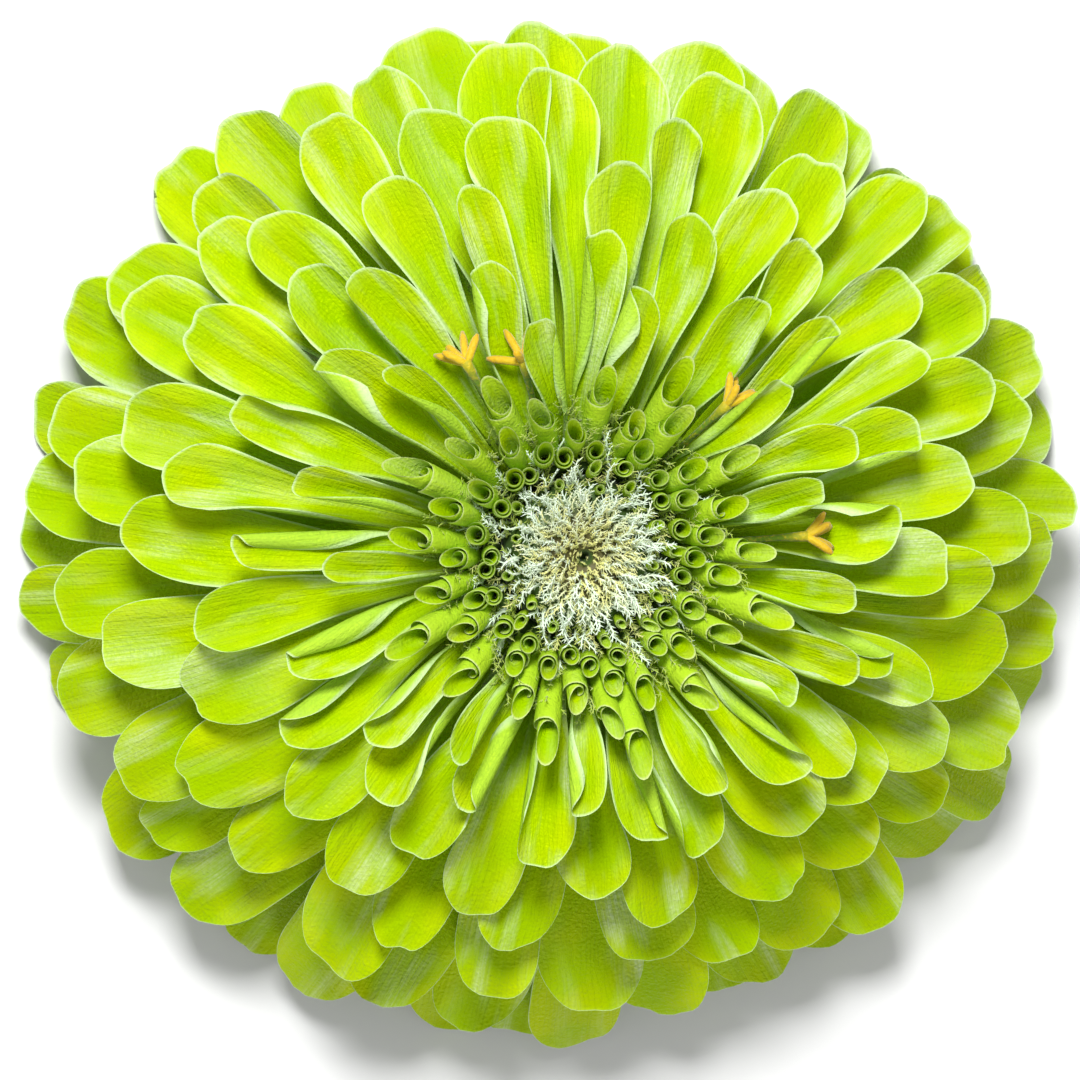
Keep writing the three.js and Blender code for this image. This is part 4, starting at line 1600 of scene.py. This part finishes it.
@dataclass
class Stem:
    """The ribbed, hairy stub below the cup, with the pale pith of its cut end.

    The hair length is a mean and how far a draw carries it.
    """

    heights: tuple[float, ...] = (0.0, 3.0, 5.625, 7.5, 8.5)
    radii: tuple[float, ...] = (3.1, 2.9, 3.285, 4.0, 4.0)
    cut_heights: tuple[float, ...] = (0.0, 0.0, 0.0, 0.06)
    cut_radii: tuple[float, ...] = (1.1, 2.2, 2.98, 3.08)
    rings: int = 22
    sides: int = 108
    ribs: int = 9
    rib_depth: float = 0.16
    hairs: int = 420
    hair_heights: tuple[float, float] = (0.5, 7.2)
    hair_length: tuple[float, float] = (0.75, 0.3)
    hair_radii: tuple[float, float] = (0.05, 0.012)
    hair_root: float = 0.1

    def radius_at(self, height: Array) -> Array:
        """The stalk's radius at a height, read off its profile."""
        return np.interp(height, self.heights, self.radii)

    def build(self, material: bpy.types.Material) -> bpy.types.Object:
        """Makes the stalk and its hairs.

        The radius is the profile's, plus the rib's depth times the cosine of its number of turns.

        Args:
            material: the stem's finish.

        Returns:
            The new piece.
        """
        above = np.linspace(0.25, self.heights[-1], self.rings)
        heights = np.concatenate([self.cut_heights, above])
        radii = np.concatenate([self.cut_radii, self.radius_at(above)])

        def ripple(radius: Array, azimuth: Array) -> Array:
            """Ribs that fade towards the middle of the cut."""
            return self.rib_depth * np.cos(self.ribs * azimuth) * smooth(1.5, 2.9, radius)

        stalk = turned(list(zip(radii, heights)), self.sides, ripple)
        radius = np.hypot(stalk.points[:, 0], stalk.points[:, 1])
        low = 1 - smooth(0.0, 0.05, stalk.points[:, 2])
        stalk.values["pith"] = low * (1 - 0.75 * smooth(1.9, 2.8, radius))
        stalk.values["turn"] = np.arctan2(stalk.points[:, 1], stalk.points[:, 0])
        n = np.arange(self.hairs, dtype=float)
        z = mix(*self.hair_heights, (n + 0.5) / self.hairs)
        azimuth = n * GOLDEN_ANGLE
        outward, sideways, up = compass(azimuth)
        radius = self.radius_at(z) - self.hair_root + self.rib_depth * np.cos(self.ribs * azimuth)
        start = outward * radius[:, None] + up * z[:, None]
        reach = (self.hair_length[0] + self.hair_length[1] * draw(n, 26))[:, None]
        tip = start + (outward + up * 0.5 + sideways * 0.4 * draw(n, 27)[:, None]) * reach
        ends = np.stack([start, tip], 1)
        hairs = tubes(ends, np.array([self.hair_radii]), 3, {"turn": azimuth[:, None]})
        return stalk.joined(hairs).piece("stem", material)


@dataclass
class Involucre:
    """The cup of overlapping rounded bracts, green with a dark papery margin."""

    profile: tuple[tuple[float, float], ...] = (
        (4.2, 7.5),
        (6.4, 8.9),
        (8.3, 11.0),
        (9.4, 13.4),
        (9.9, 16.0),
    )
    sides: int = 78
    roots: tuple[float, ...] = (0.0, 0.27, 0.54)
    half_widths: tuple[float, ...] = (1.1, 1.7, 2.0)
    per_row: int = 13
    waver: float = 0.04
    reach: float = 0.5
    lift: tuple[float, float] = (-0.5, 1.05)
    thickness: float = 0.6
    rows: int = 12
    columns: int = 11

    def cup_at(self, share: Array) -> tuple[Array, Array]:
        """The cup's radius and height at a share of its profile, straight on past its rim.

        Args:
            share: the share of the way from the cup's foot to its rim, past 1 beyond it.

        Returns:
            The radius and the height in mm.
        """
        rings = np.array(self.profile)
        place = share * (len(rings) - 1)
        piece = np.clip(np.floor(place).astype(int), 0, len(rings) - 2)
        rest = (place - piece)[..., None]
        both = mix(rings[piece], rings[piece + 1], rest)
        return both[..., 0], both[..., 1]

    def build(self, cup: bpy.types.Material, bract: bpy.types.Material) -> list[bpy.types.Object]:
        """Makes the cup and its bracts.

        A bract follows the cup's profile, lifted from sunk to free as the power 0.7 of the share
        along it. Its half width is the root of a parabola, and its tip is rounded.

        Args:
            cup: the cup's finish.
            bract: the bracts' finish.

        Returns:
            The two pieces.
        """
        body = turned(self.profile, self.sides)
        body.values["turn"] = np.arctan2(body.points[:, 1], body.points[:, 0])
        layers = len(self.roots)
        row = np.repeat(np.arange(layers), self.per_row)[:, None, None]
        number = np.tile(np.arange(self.per_row), layers)[:, None, None]
        azimuth = (number + row * 0.5) / self.per_row * TAU + self.waver * draw(number, row)
        v = np.sin(np.linspace(-1, 1, self.columns) * math.pi / 2)[None, None, :]
        s = np.linspace(0, 1, self.rows)[None, :, None]
        u = s * (1 - 0.1 * np.abs(v) ** 3)
        outline = np.sqrt(np.clip(1.05 - (1.4 * u - 0.45) ** 2, 0.02, None))
        width = np.array(self.half_widths)[row] * outline
        radius, height = self.cup_at(np.array(self.roots)[row] + self.reach * u)
        lifted = radius + mix(*self.lift, np.maximum(u, 1e-6) ** 0.7)
        outward, _, up = compass(azimuth + v * width / lifted)
        points = outward * lifted[..., None] + up * height[..., None]
        half = self.thickness / 2 * np.sqrt(1 - v**6) * (1 - s**8)
        to_rim = np.minimum((1 - np.abs(v)) * width, (1 - s) * 4.5)
        margin = 1 - smooth(0.05, 0.55, to_rim)
        values = {"along": s + 0 * v, "turn": azimuth + 0.2 * v, "margin": margin}
        bracts = leaves(points, half, values)
        return [body.piece("involucre_cup", cup), bracts.piece("involucre_bracts", bract)]


# Studio


@dataclass(frozen=True)
class Lamp:
    """A square soft lamp aimed at the bloom: its place and size in metres, its power in watts."""

    name: str
    place: tuple[float, float, float]
    size: float
    power: float


@dataclass
class Studio:
    """White paper floor, an even sky, a soft lamp from the top side, a fill below, the camera."""

    floor_half: float = 3.0
    sky: float = 0.38
    lamps: tuple[Lamp, ...] = (
        Lamp("key_lamp", (-0.08, 0.28, 0.48), 0.15, 3.6),
        Lamp("fill_lamp", (0.04, -0.47, 0.24), 0.2, 0.6),
    )
    lamp_aim: tuple[float, float, float] = (0.0, 0.0, 0.015)
    tilt: float = 7.2
    tilt_azimuth: float = 150.0
    distance: float = 0.62
    target: tuple[float, float, float] = (-0.002, 0.0005, 0.016)
    view_width: float = 0.0886
    view_depth: float = 0.004
    sensor: float = 36.0

    def build(self) -> None:
        """Makes the floor, the light and the camera."""
        self.lay_floor()
        self.light()
        self.aim_camera()

    def lay_floor(self) -> None:
        """A flat sheet under the bloom."""
        h = self.floor_half
        mesh = bpy.data.meshes.new("floor")
        mesh.from_pydata([(-h, -h, 0), (h, -h, 0), (h, h, 0), (-h, h, 0)], [], [(0, 1, 2, 3)])
        mesh.materials.append(FloorFinish().material())
        floor = bpy.data.objects.new("floor", mesh)
        bpy.context.collection.objects.link(floor)

    def light(self) -> None:
        """The even sky and the two soft lamps."""
        world = bpy.data.worlds.new("studio")
        bpy.context.scene.world = world
        world.use_nodes = True
        background = world.node_tree.nodes["Background"]
        background.inputs[0].default_value = (1.0, 1.0, 1.0, 1.0)
        background.inputs[1].default_value = self.sky
        for lamp in self.lamps:
            data = bpy.data.lights.new(lamp.name, "AREA")
            data.energy = lamp.power
            data.size = lamp.size
            holder = bpy.data.objects.new(lamp.name, data)
            holder.location = lamp.place
            aim = Vector(self.lamp_aim) - holder.location
            holder.rotation_euler = aim.to_track_quat("-Z", "Y").to_euler()
            bpy.context.collection.objects.link(holder)

    def aim_camera(self) -> None:
        """A long lens straight above, leaned a little, with the photograph's top towards +Y."""
        lean, azimuth = self.tilt * DEGREE, self.tilt_azimuth * DEGREE
        flat = math.sin(lean)
        away = Vector((flat * math.cos(azimuth), flat * math.sin(azimuth), math.cos(lean)))
        data = bpy.data.cameras.new("camera")
        data.sensor_width = self.sensor
        data.lens = self.sensor * (self.distance - self.view_depth) / self.view_width
        camera = bpy.data.objects.new("camera", data)
        bpy.context.collection.objects.link(camera)
        right = (-away).cross(Vector((0, 1, 0))).normalized()
        upward = right.cross(-away)
        pose = Matrix((right, upward, away)).transposed().to_4x4()
        pose.translation = Vector(self.target) + away * self.distance
        camera.matrix_world = pose
        bpy.context.scene.camera = camera
        bpy.context.scene.view_settings.view_transform = "Standard"


def adopt(pieces: Sequence[bpy.types.Object], slot: str, *nodes: str) -> None:
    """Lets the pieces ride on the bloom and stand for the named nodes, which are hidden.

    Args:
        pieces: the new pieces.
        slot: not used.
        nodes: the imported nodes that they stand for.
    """
    for piece in pieces:
        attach(piece, "root")
        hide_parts(*nodes)
        faces = len(piece.data.polygons)
        LOG.info("%s: %d faces, stands for %s", piece.name, faces, ", ".join(nodes))


def main() -> None:
    """Builds the studio and the bloom, from the stem upward."""
    logging.basicConfig(level=logging.INFO, format="%(message)s")
    Studio().build()
    adopt([Stem().build(STEM_GREEN.material())], "stem", "stem_and_involucre")
    cup = Involucre().build(CUP_GREEN.material(), BRACT_GREEN.material())
    adopt(cup, "stem", "stem_and_involucre")
    petal = PetalFinish().material()
    adopt([Receptacle().build()], "petal", "ray_petals")
    adopt(RayPetals().build(petal), "petal", "ray_petals")
    scrolls = [Quills(), YOUNG_QUILLS]
    quill = QUILL_FINISH.material()
    adopt([rolls.build(quill) for rolls in scrolls], "petal", "ray_petals")
    adopt(Disc().build(scrolls), "disc_bract", "disc_bracts")
    golden = FloretFinish().material()
    for number, place in enumerate(FLORET_PLACES, 1):
        adopt([Floret(place, number).build(golden)], "disc_floret", f"disc_floret_{number}")


if __name__ == "__main__":
    main()
